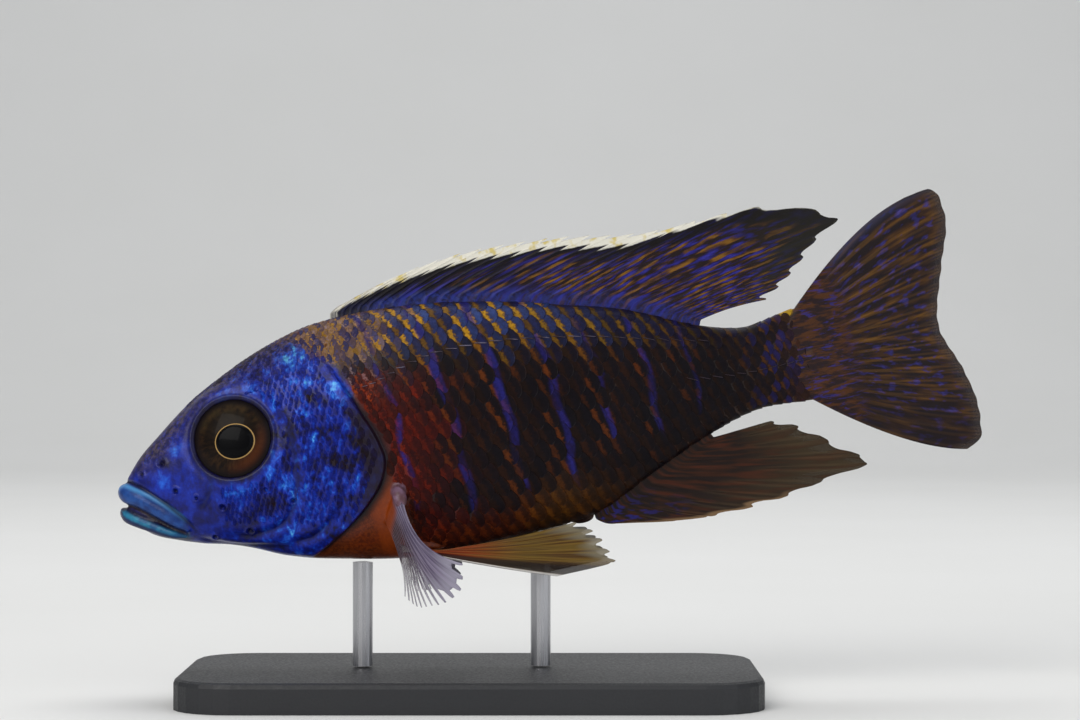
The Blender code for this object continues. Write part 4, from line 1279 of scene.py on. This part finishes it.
dorsal = {
    "rays": 26,
    "spines": 16,
    "roots": (
        (0, 36.4), (0.08, 38.4), (0.18, 41.5), (0.255, 44.6), (0.345, 49.6), (0.45, 56.3), (0.57, 63.8),
        (0.66, 70.5), (0.75, 77.8), (0.84, 84), (0.92, 87.6), (1, 90.6),
    ),
    "edge": (
        (0, 39.4, 21.2), (0.08, 45.4, 23.2), (0.2, 55.1, 25), (0.4, 71.5, 24.8), (0.6, 88.5, 22.8),
        (0.68, 97.6, 23.2), (0.74, 105.4, 22.8), (0.78, 114, 20.1), (0.84, 110.2, 16.4),
        (0.92, 105.4, 12.2), (1, 101, 9.2),
    ),
    "gap": 0.4,
    "sway": (1.6, 0.55, 0.3),  # how far the edge sways, from which share of the fin on, over how much
    "bulge": (0.7, 0.0),  # of the rays' bend, and how much it fades towards the rear
    "look": {
        "rows": 52, "perRay": 12, "notch": 1.5, "hold": 0.06, "slope": 0.4, "flag": 2.1, "ray": 0.26,
        "spread": 0.15, "taper": 0.75, "root": 0.8, "rootShare": 0.06, "cornered": 0.5, "billow": 0.08,
    },
}


anal = {
    "rays": 12,
    "spines": 3,
    "roots": ((0.0, 69.4), (0.3, 75.0), (1.0, 89.0)),
    "edge": (
        (0, 73, -19.2), (0.12, 78.6, -20.4), (0.27, 86.5, -21.2), (0.42, 96, -20.9),
        (0.56, 104.2, -19.5), (0.66, 111.8, -18.1), (0.76, 108.2, -15.2), (0.88, 102.9, -10.9),
        (1, 98.2, -8.9),
    ),
    "gap": 0.45,
    "sway": (1.2, 0.3, 0.5),
    "bulge": (-1.1, 1.0),
    "look": {
        "rows": 46, "perRay": 13, "notch": 1.3, "hold": 0.1, "slope": 0.3, "flag": 0.5, "ray": 0.32,
        "spread": 0.15, "taper": 0.6, "root": 0.9, "rootShare": 0.08, "cornered": 0.5, "billow": 0.1,
    },
}


def medianSheet(fin, up):
    # the dorsal fin stands up from the back, the anal fin down from the belly
    def sheet(u, t):
        s = curve(fin["roots"], u)[:, 0]
        edgeS, edgeZ = curve(fin["edge"], u).T
        rootZ = curve(body["sections"], s)[:, 0 if up > 0 else 1] + up * fin["gap"]
        far, begins, over = fin["sway"]
        sway = far * ease((u - begins) / over)
        bulge, fading = fin["bulge"]
        bend = stack3(0.5 * (s + edgeS), 0.2 * sway, 0.5 * (rootZ + edgeZ) + bulge * (1 - fading * u))
        skirt = stack3(0.0, 0.0, -1.3 * up * ease((0.05 - np.asarray(t)) / 0.08))
        return bowed(stack3(s, 0.0, rootZ), bend, stack3(edgeS, sway, edgeZ), t) + skirt

    return sheet


caudal = {
    "rays": 17,
    "spines": 0,
    "rootHalf": 7.0,
    "rootAt": 105.4,
    "edge": (
        (0, 128, 20.5), (0.025, 129.5, 20.9), (0.055, 130.6, 19.9), (0.1, 131, 17.6), (0.3, 129.1, 9),
        (0.5, 127.2, 0.2), (0.7, 129.3, -7.4), (0.9, 130.1, -15.6), (0.965, 129.4, -18.4),
        (1, 127.4, -19.3),
    ),
    "bow": (5.0, 3.3),
    "look": {
        "rows": 64, "perRay": 14, "notch": 0.14, "hold": 0.0, "slope": 0.5, "flag": 0.0, "ray": 0.34,
        "spread": 0.17, "taper": 0.55, "root": 2.0, "rootShare": 0.37, "cornered": 0.75, "billow": 0.06,
        "sunk": -0.12,
    },
}


def caudalSheet(u, t):
    edgeS, edgeZ = curve(caudal["edge"], u).T
    lean = 1 - 2 * u
    rootZ = caudal["rootHalf"] * lean
    wave = 0.9 * np.sin(3.0 * np.pi * u)
    bow = np.where(lean > 0, caudal["bow"][0], caudal["bow"][1]) * lean * np.abs(lean)
    bend = stack3(0.4 * caudal["rootAt"] + 0.6 * edgeS, 0.2 * wave, 0.4 * rootZ + 0.6 * edgeZ + bow)
    return bowed(stack3(caudal["rootAt"], 0.0, rootZ), bend, stack3(edgeS, wave, edgeZ), t)


pelvic = {
    "rays": 6,
    "spines": 1,
    "root": ((0.0, 40.6, 150.0), (1.0, 45.4, 158.0)),
    "edge": (
        (0, 62, 6.6, -24.9), (0.2, 70.3, 6, -24.5), (0.45, 69.6, 5.4, -22.2), (0.7, 69, 5, -20.1),
        (1, 66, 4.6, -17.6),
    ),
    "bulge": (0.0, 0.5, -0.5),  # of the rays' bend
    "lift": 0.8,  # of the root over the skin
    "tucked": 0.8,  # how far out its inner end lies
    "look": {
        "rows": 44, "perRay": 16, "notch": 1.6, "hold": 0.08, "slope": 0.3, "flag": 0.3, "ray": 0.34,
        "spread": 0.14, "taper": 0.7, "root": 1.1, "rootShare": 0.12, "cornered": 0.3, "billow": 0.12,
        "membrane": 0.18,
    },
}


pectoral = {
    "rays": 13,
    "spines": 0,
    "root": ((0.0, 42.0, 113.0), (1.0, 39.2, 131.0)),
    "edge": (
        (0, 48.7, 15.6, -19.6), (0.15, 47.9, 17, -22.9), (0.32, 45.5, 17.5, -24.4),
        (0.52, 43.2, 17.4, -24.5), (0.72, 41.5, 16.8, -24.4), (0.87, 40.6, 15.8, -23.6),
        (1, 39.8, 14.6, -22.6),
    ),
    "bend": ((0.0, 41.3, 13.4, -16.0), (1.0, 40.8, 12.4, -18.0)),
    "lift": 0.65,
    "tucked": -0.9,
    "look": {
        "rows": 48, "perRay": 14, "notch": 4.6, "hold": 0.13, "slope": 0.16, "flag": 0.0, "ray": 0.4,
        "spread": 0.2, "taper": 0.75, "root": 1.6, "rootShare": 0.34, "cornered": 0.4, "billow": 0.12,
        "membrane": 0.15, "webbed": 0.36,
    },
}


def pairedSheet(fin, side):
    # a pelvic or pectoral fin, its root on the skin and tucked into it
    def sheet(u, t):
        s, turn = curve(fin["root"], u).T
        root, edge = sectionAt(s, turn, fin["lift"]), curve(fin["edge"], u)
        bend = curve(fin["bend"], u) if "bend" in fin else 0.5 * (root + edge) + fin["bulge"]
        inside = sectionAt(s, turn, fin["tucked"]) - root
        tuck = ease((0.08 - np.asarray(t)) / 0.11)[:, None]
        return (bowed(root, bend, edge, t) + inside * tuck) * (1, side, 1)

    return sheet


def rayRelief(v, t, spine, spread):
    # share of the ray ridges at v, 0 to 1 from one ray to the next; soft rays fork twice
    ridge = np.zeros_like(v)
    if spine:
        lines = ((0.0, 1.0), (1.0, 1.0))
    else:
        first, second = (ease((t - begins) / over) for begins, over, _ in finBasics["forks"])
        apart, closer = (far for _, _, far in finBasics["forks"])
        lines = []
        for middle in (0.0, 1.0):
            for a in (-apart, apart):
                for b in (-closer, closer):
                    lines.append((middle + a * first + b * second, 1 - 0.45 * first))
    for where, share in lines:
        width = spread * (1 - 0.55 * t) * share + 0.012
        ridge = np.maximum(ridge, share * np.sqrt(np.clip(1 - ((v - where) / width) ** 2, 0, 1)))
    return ridge


def facesOut(corners, outward):
    # whether three corners of a face go round so that it looks that way
    a, b, c = corners
    return np.dot(np.cross(b - a, c - a), outward) > 0


def buildFin(name, sheet, spec, replaced, material):
    look = finBasics | spec["look"]
    rays, perRay, rows = spec["rays"], look["perRay"], look["rows"]
    # columns stand closer at the rays
    within = (1 - np.cos(np.pi * np.arange(perRay) / perRay)) / 2
    position = np.append((np.arange(rays - 1)[:, None] + within).ravel(), rays - 1)
    u = position / (rays - 1)
    interval = np.minimum(position.astype(int), rays - 2)
    v = position - interval
    spineHere = interval < spec["spines"]
    length = np.linalg.norm(sheet(u, np.ones_like(u)) - sheet(u, np.zeros_like(u)), axis=1)
    # soft rays stand out past the membrane; behind each spine it runs out into a small flag
    uneven = rng.uniform(0.6, 1.4, rays)[interval]
    soft = look["notch"] * uneven * ease((np.minimum(v, 1 - v) - look["hold"]) / look["slope"])
    soft = soft * (1 - 0.7 * ease((look["webbed"] - u) / 0.15))
    flag = look["flag"] * np.where(v < 0.82, 1 - v / 0.82, ease((v - 0.82) / 0.18))
    flag = flag * np.minimum(1, length / 12)
    reach = 1 - np.where(spineHere, flag, soft) / np.maximum(length, 3.0)
    # how steeply the rays meet the edge
    tip, onward = sheet(u, np.ones_like(u)), sheet(np.clip(u + 0.01, 0, 1), np.ones_like(u))
    onward = onward - sheet(np.clip(u - 0.01, 0, 1), np.ones_like(u))
    along = tip - sheet(u, np.full_like(u, 0.9))
    steep = np.linalg.norm(np.cross(along, onward), axis=1)
    steep = np.clip(steep / np.linalg.norm(along, axis=1) / np.linalg.norm(onward, axis=1), 0.2, 1)
    span = np.linspace(look["sunk"], 1, rows)
    t = span[None] * reach[:, None]
    uu = np.repeat(u[:, None], rows, axis=1)
    flatU, flatT = uu.ravel(), t.ravel()
    middle = sheet(flatU, flatT)
    across = sheet(np.clip(flatU + 0.002, 0, 1), flatT) - sheet(np.clip(flatU - 0.002, 0, 1), flatT)
    ahead = sheet(flatU, flatT + 0.01) - sheet(flatU, flatT - 0.01)
    normal = np.cross(across, ahead)
    normal = normal / np.maximum(np.linalg.norm(normal, axis=1), 1e-9)[:, None]
    relief = np.empty_like(t)
    for k in range(len(u)):
        relief[k] = rayRelief(np.full(rows, v[k]), t[k], bool(spineHere[k]), look["spread"])
    ridgeMask = np.clip(relief * (1.6 - 0.5 * t), 0, 1)
    joints = np.where(spineHere[:, None], 1.0, 0.9 + 0.1 * np.sin(t * 150))
    relief = relief * joints * look["ray"] * (1 - look["taper"] * t)
    flesh = look["root"] * np.clip(1 - t / look["rootShare"], 0, 1.3) ** 1.6
    flesh = flesh * (1 - look["cornered"] * (2 * uu - 1) ** 4)
    edgeThin = 1 - 0.5 * ease((span[None] - 0.85) / 0.15)
    thick = np.maximum(look["membrane"] * edgeThin + relief, flesh)
    billow = look["billow"] * np.sin(v[:, None] * math.pi) * ease(t / 0.3) * (1 - 0.5 * t)
    offset = (thick / 2).ravel()[:, None]
    centre = middle + normal * billow.ravel()[:, None]
    both = np.concatenate([centre + normal * offset, centre - normal * offset])
    n = len(u) * rows
    front = gridFaces(len(u), rows)
    c, r = np.arange(len(u) - 1), np.arange(rows - 1)
    sides = []
    for row in (0, rows - 1):
        a, b = c * rows + row, (c + 1) * rows + row
        quad = np.stack([a, b, b + n, a + n], 1)
        sides.append(quad if row else quad[:, ::-1])
    for column in (0, len(u) - 1):
        a, b = column * rows + r, column * rows + r + 1
        quad = np.stack([a, b, b + n, a + n], 1)
        sides.append(quad[:, ::-1] if column else quad)
    faces = np.concatenate([front, front[:, ::-1] + n, *sides])
    fin = stack3(position[:, None], span[None], ridgeMask)
    # millimetres square to the free edge, along the ray from the root, and of the whole ray
    inMm = stack3((1 - span[None]) * (reach * length * steep)[:, None], t * length[:, None], length[:, None])
    # which way round the faces go depends on the sheet
    corners = posed(both[front[0, :3]])
    if not facesOut(corners, corners[0] - posed(both[front[:1, 0] + n])[0]):
        faces = faces[:, ::-1]
    vectors = {"fin": fin, "edge": inMm}
    vectors = {label: np.tile(values.reshape(-1, 3), (2, 1)) for label, values in vectors.items()}
    piece = meshPiece(name, posed(both), faces, material, vectors | {"place": both})
    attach(piece, "root")
    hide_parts(replaced)
    print(name + ":", len(faces), "faces")


def finMaterial(name, paint):
    material, shader = startMaterial(name, **{"Coat Roughness": 0.2, "Specular IOR Level": 0.16})
    place = read("place")
    ray, t, ridge = parts(read("fin"))
    edge, root, _ = parts(read("edge"))
    colour, alpha = paint(place, ray, t, ridge, edge, root)
    wrinkles = noise(joined(ray * 3.0, t * 9.0, 0.0), 1.6)
    coverWet(shader, place, colour, 0.4, 0.58, 0.05, 0.35, 0.0001, wrinkles)
    if alpha is not None:
        fill(shader, {"Alpha": alpha})
    return material


def addDashes():
    # broken streaks that run along the rays
    inputs = {"Ray": 0.0, "Along": 0.0, "PerRay": 1.0, "Count": 10.0, "Cover": 0.5, "Seed": 0.0}
    given, result = startGroup("rayDashes", inputs, {"Mask": "Float", "Glow": "Float"})
    x, y = given["Ray"] * given["PerRay"], given["Along"] * given["Count"]
    field = noise(joined(x, y, given["Seed"]), 1.0, 2.0, 0.5, 0.12)
    low = 0.98 - given["Cover"]
    high = low + 0.12
    fill(result, {"Mask": stretch(field, low, high), "Glow": stretch(field, low + 0.09, high + 0.12)})


def dashes(ray, along, perRay, count, cover, seed):
    return useGroup("rayDashes", Ray=ray, Along=along, PerRay=perRay, Count=count, Cover=cover, Seed=seed)


addDashes()


def paintDorsal(place, ray, t, ridge, edge, root):
    soft = stretch(ray, 10.0, 16.0)
    # the long rear rays stand further apart, so more streaks go between two of them
    finer = calc("MAXIMUM", ray - 14.5, 0.0) * 0.7 + ray
    along = t * stretch(ray, 13.0, 17.0, 1.0, 1.5)
    fineBlue = dashes(finer, along, 2.6, 2.6, 0.5, 2.0)
    blueDash = dashes(finer, along, 2.4, 6.0, 0.53, 4.0)
    goldDash = dashes(finer, along, 1.6, 5.0, 0.56, 7.0)
    # blue and gold streaks take turns from ray to ray
    turns = calc("SINE", noise(place, 0.35) * 4.0 + finer * 8.0)
    base = mix(soft, (13, 7, 18), (30, 17, 18))
    blueMask = mix(soft, fineBlue["Mask"], blueDash["Mask"])
    blueGlow = mix(soft, fineBlue["Glow"], blueDash["Glow"])
    blueShare = blueMask * stretch(turns, 0.6, -0.4, 0.35, 0.9)
    colour = mix(blueShare, base, (32, 28, 106))
    colour = mix(blueGlow * blueShare, colour, (46, 44, 138))
    gold = goldDash["Mask"] * stretch(ray, 7.5, 15.0, 0.0, 0.95) * stretch(turns, -0.2, 0.6)
    lastRays = stretch(ray, 20.0, 22.5)
    gold = gold * calc("MAXIMUM", stretch(edge, 1.6, 3.0), lastRays) * stretch(root, 0.6, 4.0, 0.25, 1.0)
    colour = mix(gold * 0.9, colour, (84, 52, 18))
    colour = mix(goldDash["Glow"] * gold, colour, (122, 84, 22))
    low = stretch(root, 4.2, 0.3) * stretch(ray, 19.0, 9.0, 0.45, 0.75)
    mottle = noise(place, 1.1, 3.0, 0.62, 0.3)
    low = low * stretch(mottle, 0.4, 0.6, 0.35, 1.0)
    colour = mix(low, colour, mix(mottle, (26, 34, 104), (38, 58, 142)))
    margin = stretch(edge, 3.2, 1.8) * stretch(lastRays, 0.0, 1.0, 0.85, 0.1)
    colour = mix(margin, colour, (10, 7, 9))
    tip = stretch(ray, 17.5, 20.0) * stretch(t, 0.5, 0.85) * stretch(ray, 24.5, 21.0, 0.3, 1.0)
    colour = mix(tip * 0.8, colour, (30, 28, 22))
    # a white margin with yellow tinges: narrow in front, widest in the middle, gone at the point
    wide = stretch(ray, 0.0, 10.0, 0.9, 1.35) * stretch(ray, 18.8, 13.5, 0.0, 1.0)
    wave = (noise(place, 0.8) - 0.5) * 0.4
    rim = stretch(edge + wave - wide, 0.2, -0.14) * stretch(ray, 19.6, 18.2)
    rim = calc("MAXIMUM", rim, stretch(ray, 0.3, 0.08, 0.0, 0.85))
    tinge = noise(place, 0.55, 2.0, 0.6) + stretch(ray, 6.0, 0.0, 0.0, 0.08)
    cream = mix(stretch(tinge, 0.52, 0.7), (222, 219, 206), (206, 188, 118))
    colour = mix(rim, colour, cream)
    return colour, None


def paintCaudal(place, ray, t, ridge, edge, root):
    rust = dashes(ray, t, 2.0, 3.6, 0.54, 1.0)
    blueDash = dashes(ray, t, 2.8, 12.0, 0.45, 5.0)
    colour = mix(rust["Mask"], (28, 17, 18), (58, 34, 14))
    colour = mix(rust["Glow"], colour, (94, 62, 18))
    colour = mix(stretch(ray, 11.0, 15.5) * 0.65, colour, (24, 13, 15))
    blueShare = blueDash["Mask"] * stretch(edge, 0.8, 3.2, 0.1, 0.85) * stretch(ray, 15.0, 12.0, 0.3, 1.0)
    colour = mix(blueShare, colour, (42, 38, 108))
    colour = mix(blueDash["Glow"] * blueShare, colour, (60, 58, 144))
    between = stretch(ridge, 0.5, 0.1) * stretch(edge, 0.6, 3.0, 0.1, 0.45)
    colour = mix(between, colour, (20, 11, 17))
    lines = ridge * stretch(ray, 15.0, 11.0, 0.12, 0.3)
    colour = mix(lines, colour, (106, 74, 26))
    colour = mix(stretch(ray, 0.9, 0.1) * 0.6, colour, (56, 62, 92))
    base = useGroup("tailBase", Place=place)["Color"]
    colour = mix(stretch(root, 8.5, 5.0), colour, base)
    rim = stretch(edge + noise(place, 0.5), 3.6, 0.8)
    grey = mix(ridge, (40, 33, 36), (84, 66, 52))
    colour = mix(rim * 0.8, colour, grey)
    return colour, stretch(edge, 2.6, 0.2, 1.0, 0.85)


def paintAnal(place, ray, t, ridge, edge, root):
    blueDash = dashes(ray, t, 2.2, 6.0, 0.47, 3.0)
    rust = dashes(ray, t, 2.4, 3.0, 0.54, 8.0)
    colour = mix(rust["Mask"], (26, 14, 11), (46, 23, 11))
    colour = mix(rust["Glow"], colour, (62, 27, 12))
    front = stretch(ray, 5.0, 0.5) * stretch(t, 0.8, 0.4)
    colour = mix(blueDash["Mask"] * front, colour, (32, 30, 104))
    rear = stretch(ray, 2.5, 7.5) * stretch(t, 0.3, 0.9) * stretch(rust["Mask"], 0.0, 1.0, 0.9, 0.55)
    colour = mix(rear, colour, (58, 46, 28))
    lines = ridge * stretch(t, 0.3, 0.8, 0.0, 0.34)
    colour = mix(lines, colour, (92, 74, 50))
    rim = stretch(edge, 0.6, 0.2) * stretch(ray, 6.0, 4.4)
    colour = mix(rim * 0.9, colour, (124, 98, 70))
    return colour, stretch(rear * stretch(edge, 5.0, 0.3), 0.2, 0.9, 1.0, 0.86)


def paintPelvic(place, ray, t, ridge, edge, root):
    streaks = dashes(ray, t, 4.0, 1.6, 0.52, 6.0)
    colour = mix(stretch(t, 0.12, 0.6), (134, 40, 10), (96, 74, 24))
    colour = mix(streaks["Mask"] * 0.7, colour, (56, 26, 10))
    colour = mix(ridge * 0.3, colour, (148, 112, 50))
    ends = stretch(edge, 3.4, 0.2) * stretch(ray, 0.7, 1.4)
    colour = mix(ends * 0.7, colour, (140, 134, 114))
    dark = stretch(ray, 0.95, 0.45) * stretch(ray, 0.06, 0.15)
    colour = mix(dark * 0.88, colour, (18, 10, 10))
    colour = mix(stretch(ray, 0.13, 0.06), colour, (196, 192, 188))
    return colour, stretch(edge, 4.0, 0.3, 1.0, 0.7)


def paintPectoral(place, ray, t, ridge, edge, root):
    # opaque lavender along the upper rays, clear with dark rays towards the lower ones
    clear = stretch(ray, 1.5, 8.0)
    streaks = dashes(ray, t, 3.0, 2.0, 0.5, 9.0)
    colour = mix(streaks["Mask"], (84, 74, 98), (116, 106, 130))
    colour = mix(clear * 0.75, colour, (66, 50, 58))
    colour = mix(ridge * 0.5, colour, (142, 134, 152))
    lower = clear * stretch(t, 0.75, 0.5)
    colour = mix(lower * 0.6, colour, (58, 30, 24))
    colour = mix(stretch(edge, 4.5, 0.5) * 0.5, colour, (166, 164, 178))
    orange = stretch(root, 2.8, 1.0) * stretch(ray, 2.0, 5.0)
    colour = mix(orange, colour, (128, 60, 34))
    window = stretch(t, 0.12, 0.4) * (1.0 - ridge) * stretch(clear, 0.0, 1.0, 0.15, 1.0)
    return colour, stretch(window, 0.0, 1.0, 0.97, 0.28)


def buildFins():
    look = finMaterial("dorsalFin", paintDorsal)
    buildFin("dorsal", medianSheet(dorsal, 1), dorsal, "dorsal_fin", look)
    look = finMaterial("analFin", paintAnal)
    buildFin("anal", medianSheet(anal, -1), anal, "anal_fin", look)
    look = finMaterial("tailFin", paintCaudal)
    buildFin("caudal", caudalSheet, caudal, "caudal_fin", look)
    paired = (("pelvic", pelvic, finMaterial("pelvicFin", paintPelvic)),
              ("pectoral", pectoral, finMaterial("pectoralFin", paintPectoral)))
    for side, word in ((1, "left"), (-1, "right")):
        for name, fin, look in paired:
            replaced = name + "_fin_" + word
            buildFin(name + "_" + word, pairedSheet(fin, side), fin, replaced, look)


buildFins()


def eyeMaterial():
    fixed = {"Coat Weight": 0.05, "Coat Roughness": 0.05, "Roughness": 0.4, "Specular IOR Level": 0.06}
    material, shader = startMaterial("eyeBall", **fixed)
    across, up, outer = parts(read("iris"))
    oval = joined(across, up * eye["pupilOval"], 0.0)
    ring = vectorCalc("DISTANCE", oval, (0.0, 0.0, 0.0), "Value")
    angle = calc("ARCTAN2", up, across)
    streaks = noise(joined(angle * 5.0, ring * 2.5, 0.0), 1.4, 3.0, 0.6)
    clouds = noise(joined(across, up, 0.0), 2.4, 3.0, 0.6)
    iris = mix(stretch(streaks, 0.35, 0.7), (20, 13, 10), (54, 36, 20))
    # a painted highlight at the lower rear of the iris
    lowRearHighlight = stretch(across - up, 0.1, 1.0)
    iris = mix(lowRearHighlight * 0.7, iris, (96, 48, 20))
    top = stretch(up, 0.15, 0.75) * stretch(clouds, 0.3, 0.6)
    iris = mix(top * 0.55, iris, (76, 62, 34))
    inner = stretch(outer, 0.84, 0.62) * stretch(up, -0.5, 0.3, 0.35, 0.8)
    iris = mix(inner, iris, (17, 12, 9))
    iris = mix(stretch(outer, 0.68, 0.98), iris, (17, 12, 14))
    pupil = eye["pupil"]
    halo = stretch(ring, pupil - 0.015, pupil + 0.005) * stretch(ring, pupil + 0.034, pupil + 0.016)
    iris = mix(halo * 0.95, iris, (176, 142, 88))
    colour = mix(stretch(ring, pupil + 0.005, pupil - 0.012), iris, (3, 3, 5))
    fill(shader, {"Base Color": colour, "Normal": bumped(streaks, 0.15, 0.0001)})
    return material


def buildEyes():
    material = eyeMaterial()
    around = 96
    angle = roundAngles(around)
    radius, dome, depth = eye["radius"], eye["dome"], eye["depth"]
    share = np.concatenate([np.linspace(0.02, 0.9, 34), np.linspace(0.915, 1.0, 8)])
    for side, word in ((1, "left"), (-1, "right")):
        middle, axis, up, ahead = eyeFrame(side)
        tail = ahead * (1 if ahead[0] > 0 else -1)
        rings, marks = [], []
        # the front, from the middle out, then the part that lies in the socket
        rows = [(ring, dome * (1 - ring**2.2), ring) for ring in share]
        rows += [(0.985, -0.6, 1.05), (0.8, -depth * 0.8, 1.05), (0.3, -depth, 1.05)]
        for ring, high, outer in rows:
            x, y = ring * np.cos(angle), ring * np.sin(angle)
            # the pupil bulges, and sits a little back and low in the iris
            pupilX, pupilY = x - eye["pupilBack"], y + eye["pupilDown"]
            bulge = ease((eye["pupil"] + 0.03 - np.hypot(pupilX, eye["pupilOval"] * pupilY)) / 0.12)
            bulge = eye["pupilBulge"] * bulge * (outer <= 1)
            across = np.outer(x, tail) + np.outer(y, up)
            rings.append(middle + np.outer(high + bulge, axis) + across * radius)
            marks.append(np.stack([pupilX, pupilY, np.full(around, outer)], 1))
        points, faces = closedRings(np.array(rings))
        values = np.concatenate([np.concatenate(marks), [marks[0].mean(0), marks[-1].mean(0)]])
        ends = posed(np.array([middle, middle + axis]))
        if not facesOut(posed(points[list(faces[0][:3])]), ends[1] - ends[0]):
            faces = [f[::-1] for f in faces]
        piece = meshPiece("eyeball_" + word, posed(points), faces, material, {"iris": values})
        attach(piece, "root")
        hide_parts("eye_" + word)
    print("eyes made")


buildEyes()


def standMaterials():
    coat, shader = startMaterial("powderCoat", **{"Specular IOR Level": 0.4})
    place = Value(node("TexCoord", {})["Object"])
    speckle, broad = noise(place, 2600.0, 2.0, 0.6), noise(place, 30.0, 3.0, 0.6)
    fill(shader, {"Base Color": mix(broad, (34, 35, 38), (44, 45, 48)),
                  "Roughness": stretch(speckle, 0.3, 0.7, 0.42, 0.6),
                  "Normal": bumped(speckle, 0.3, 0.0001)})
    steel, shader = startMaterial("brushedRod", Metallic=1.0)
    place = Value(node("TexCoord", {})["Object"])
    lines = noise(drawnOut(place, (4000.0, 4000.0, 60.0)), 1.0, 2.0, 0.6)
    fill(shader, {"Base Color": mix(lines, (168, 168, 172), (200, 200, 204)),
                  "Roughness": stretch(lines, 0.3, 0.7, 0.24, 0.4), "Normal": bumped(lines, 0.15, 0.00004)})
    return coat, steel


coat, steel = standMaterials()
for name, material in (("stand_base", coat), ("stand_rod_front", steel), ("stand_rod_rear", steel)):
    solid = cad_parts[name]
    for place in solid.material_slots:
        place.material = material


studio = {
    "distance": 0.45,  # from the fish's middle plane to the camera
    "field": 0.162,  # how much the picture's width shows there
    "middle": (63.3, 20.1),  # what the picture's middle shows, from the snout tip, mm
    "target": (0.0, 0.0, 0.045),
    "wallTarget": (0.0, 1.5, 0.3),
    # name, place, size, power, colour
    "lamps": (
        ("key", (-0.38, -0.6, 0.5), 0.6, 4.6, (1.0, 0.98, 0.95)),
        ("fill", (0.6, -0.55, 0.3), 0.8, 2.0, (0.95, 0.97, 1.0)),
        ("top", (0.05, 0.25, 0.8), 0.6, 2.6, (1.0, 1.0, 1.0)),
        ("wall", (0.0, 0.6, 1.3), 1.2, 8.0, (1.0, 1.0, 1.0)),
    ),
    "sky": (0.8, 0.84, 0.9, 1.0),
    "skyStrength": 0.25,
}


def buildStudio():
    scene = bpy.context.scene
    floorMaterial, shader = startMaterial("paleFloor", **{"Specular IOR Level": 0.2, "Roughness": 0.7})
    clouds = noise(Value(node("TexCoord", {})["Object"]), 9.0, 3.0)
    fill(shader, {"Base Color": mix(clouds, (222, 222, 220), (228, 228, 227))})
    # a floor that sweeps up into a backdrop
    profile = [(-3.0, 0.0), (0.9, 0.0)]
    profile += [(0.9 + 0.6 * math.sin(a), 0.6 - 0.6 * math.cos(a)) for a in np.radians(np.arange(6, 91, 6))]
    profile += [(1.5, 3.0)]
    rows = np.array([[(x, y, z) for x in (-4.0, 4.0)] for y, z in profile]).reshape(-1, 3)
    floor = meshPiece("floor", rows, gridFaces(len(profile), 2)[:, ::-1], floorMaterial)

    camera = bpy.data.cameras.new("camera")
    camera.sensor_width = 36.0
    camera.lens = 36.0 * studio["distance"] / studio["field"]
    camera.clip_start = 0.01
    viewer = bpy.data.objects.new("camera", camera)
    s, z = studio["middle"]
    viewer.location = (fishOrigin[0] + s * 0.001, -studio["distance"], fishOrigin[2] + z * 0.001)
    viewer.rotation_euler = (math.pi / 2, 0.0, 0.0)
    scene.collection.objects.link(viewer)
    scene.camera = viewer

    for name, place, size, power, colour in studio["lamps"]:
        light = bpy.data.lights.new(name, "AREA")
        light.size = size
        light.energy = power
        light.color = colour
        lamp = bpy.data.objects.new(name, light)
        lamp.location = place
        aim = Vector(studio["wallTarget" if name == "wall" else "target"])
        lamp.rotation_euler = (aim - Vector(place)).to_track_quat("-Z", "Y").to_euler()
        scene.collection.objects.link(lamp)

    world = bpy.data.worlds.new("studioWorld")
    world.use_nodes = True
    sky = world.node_tree.nodes["Background"].inputs
    sky["Color"].default_value = studio["sky"]
    sky["Strength"].default_value = studio["skyStrength"]
    scene.world = world
    scene.view_settings.view_transform = "Standard"
    print("studio set")


buildStudio()
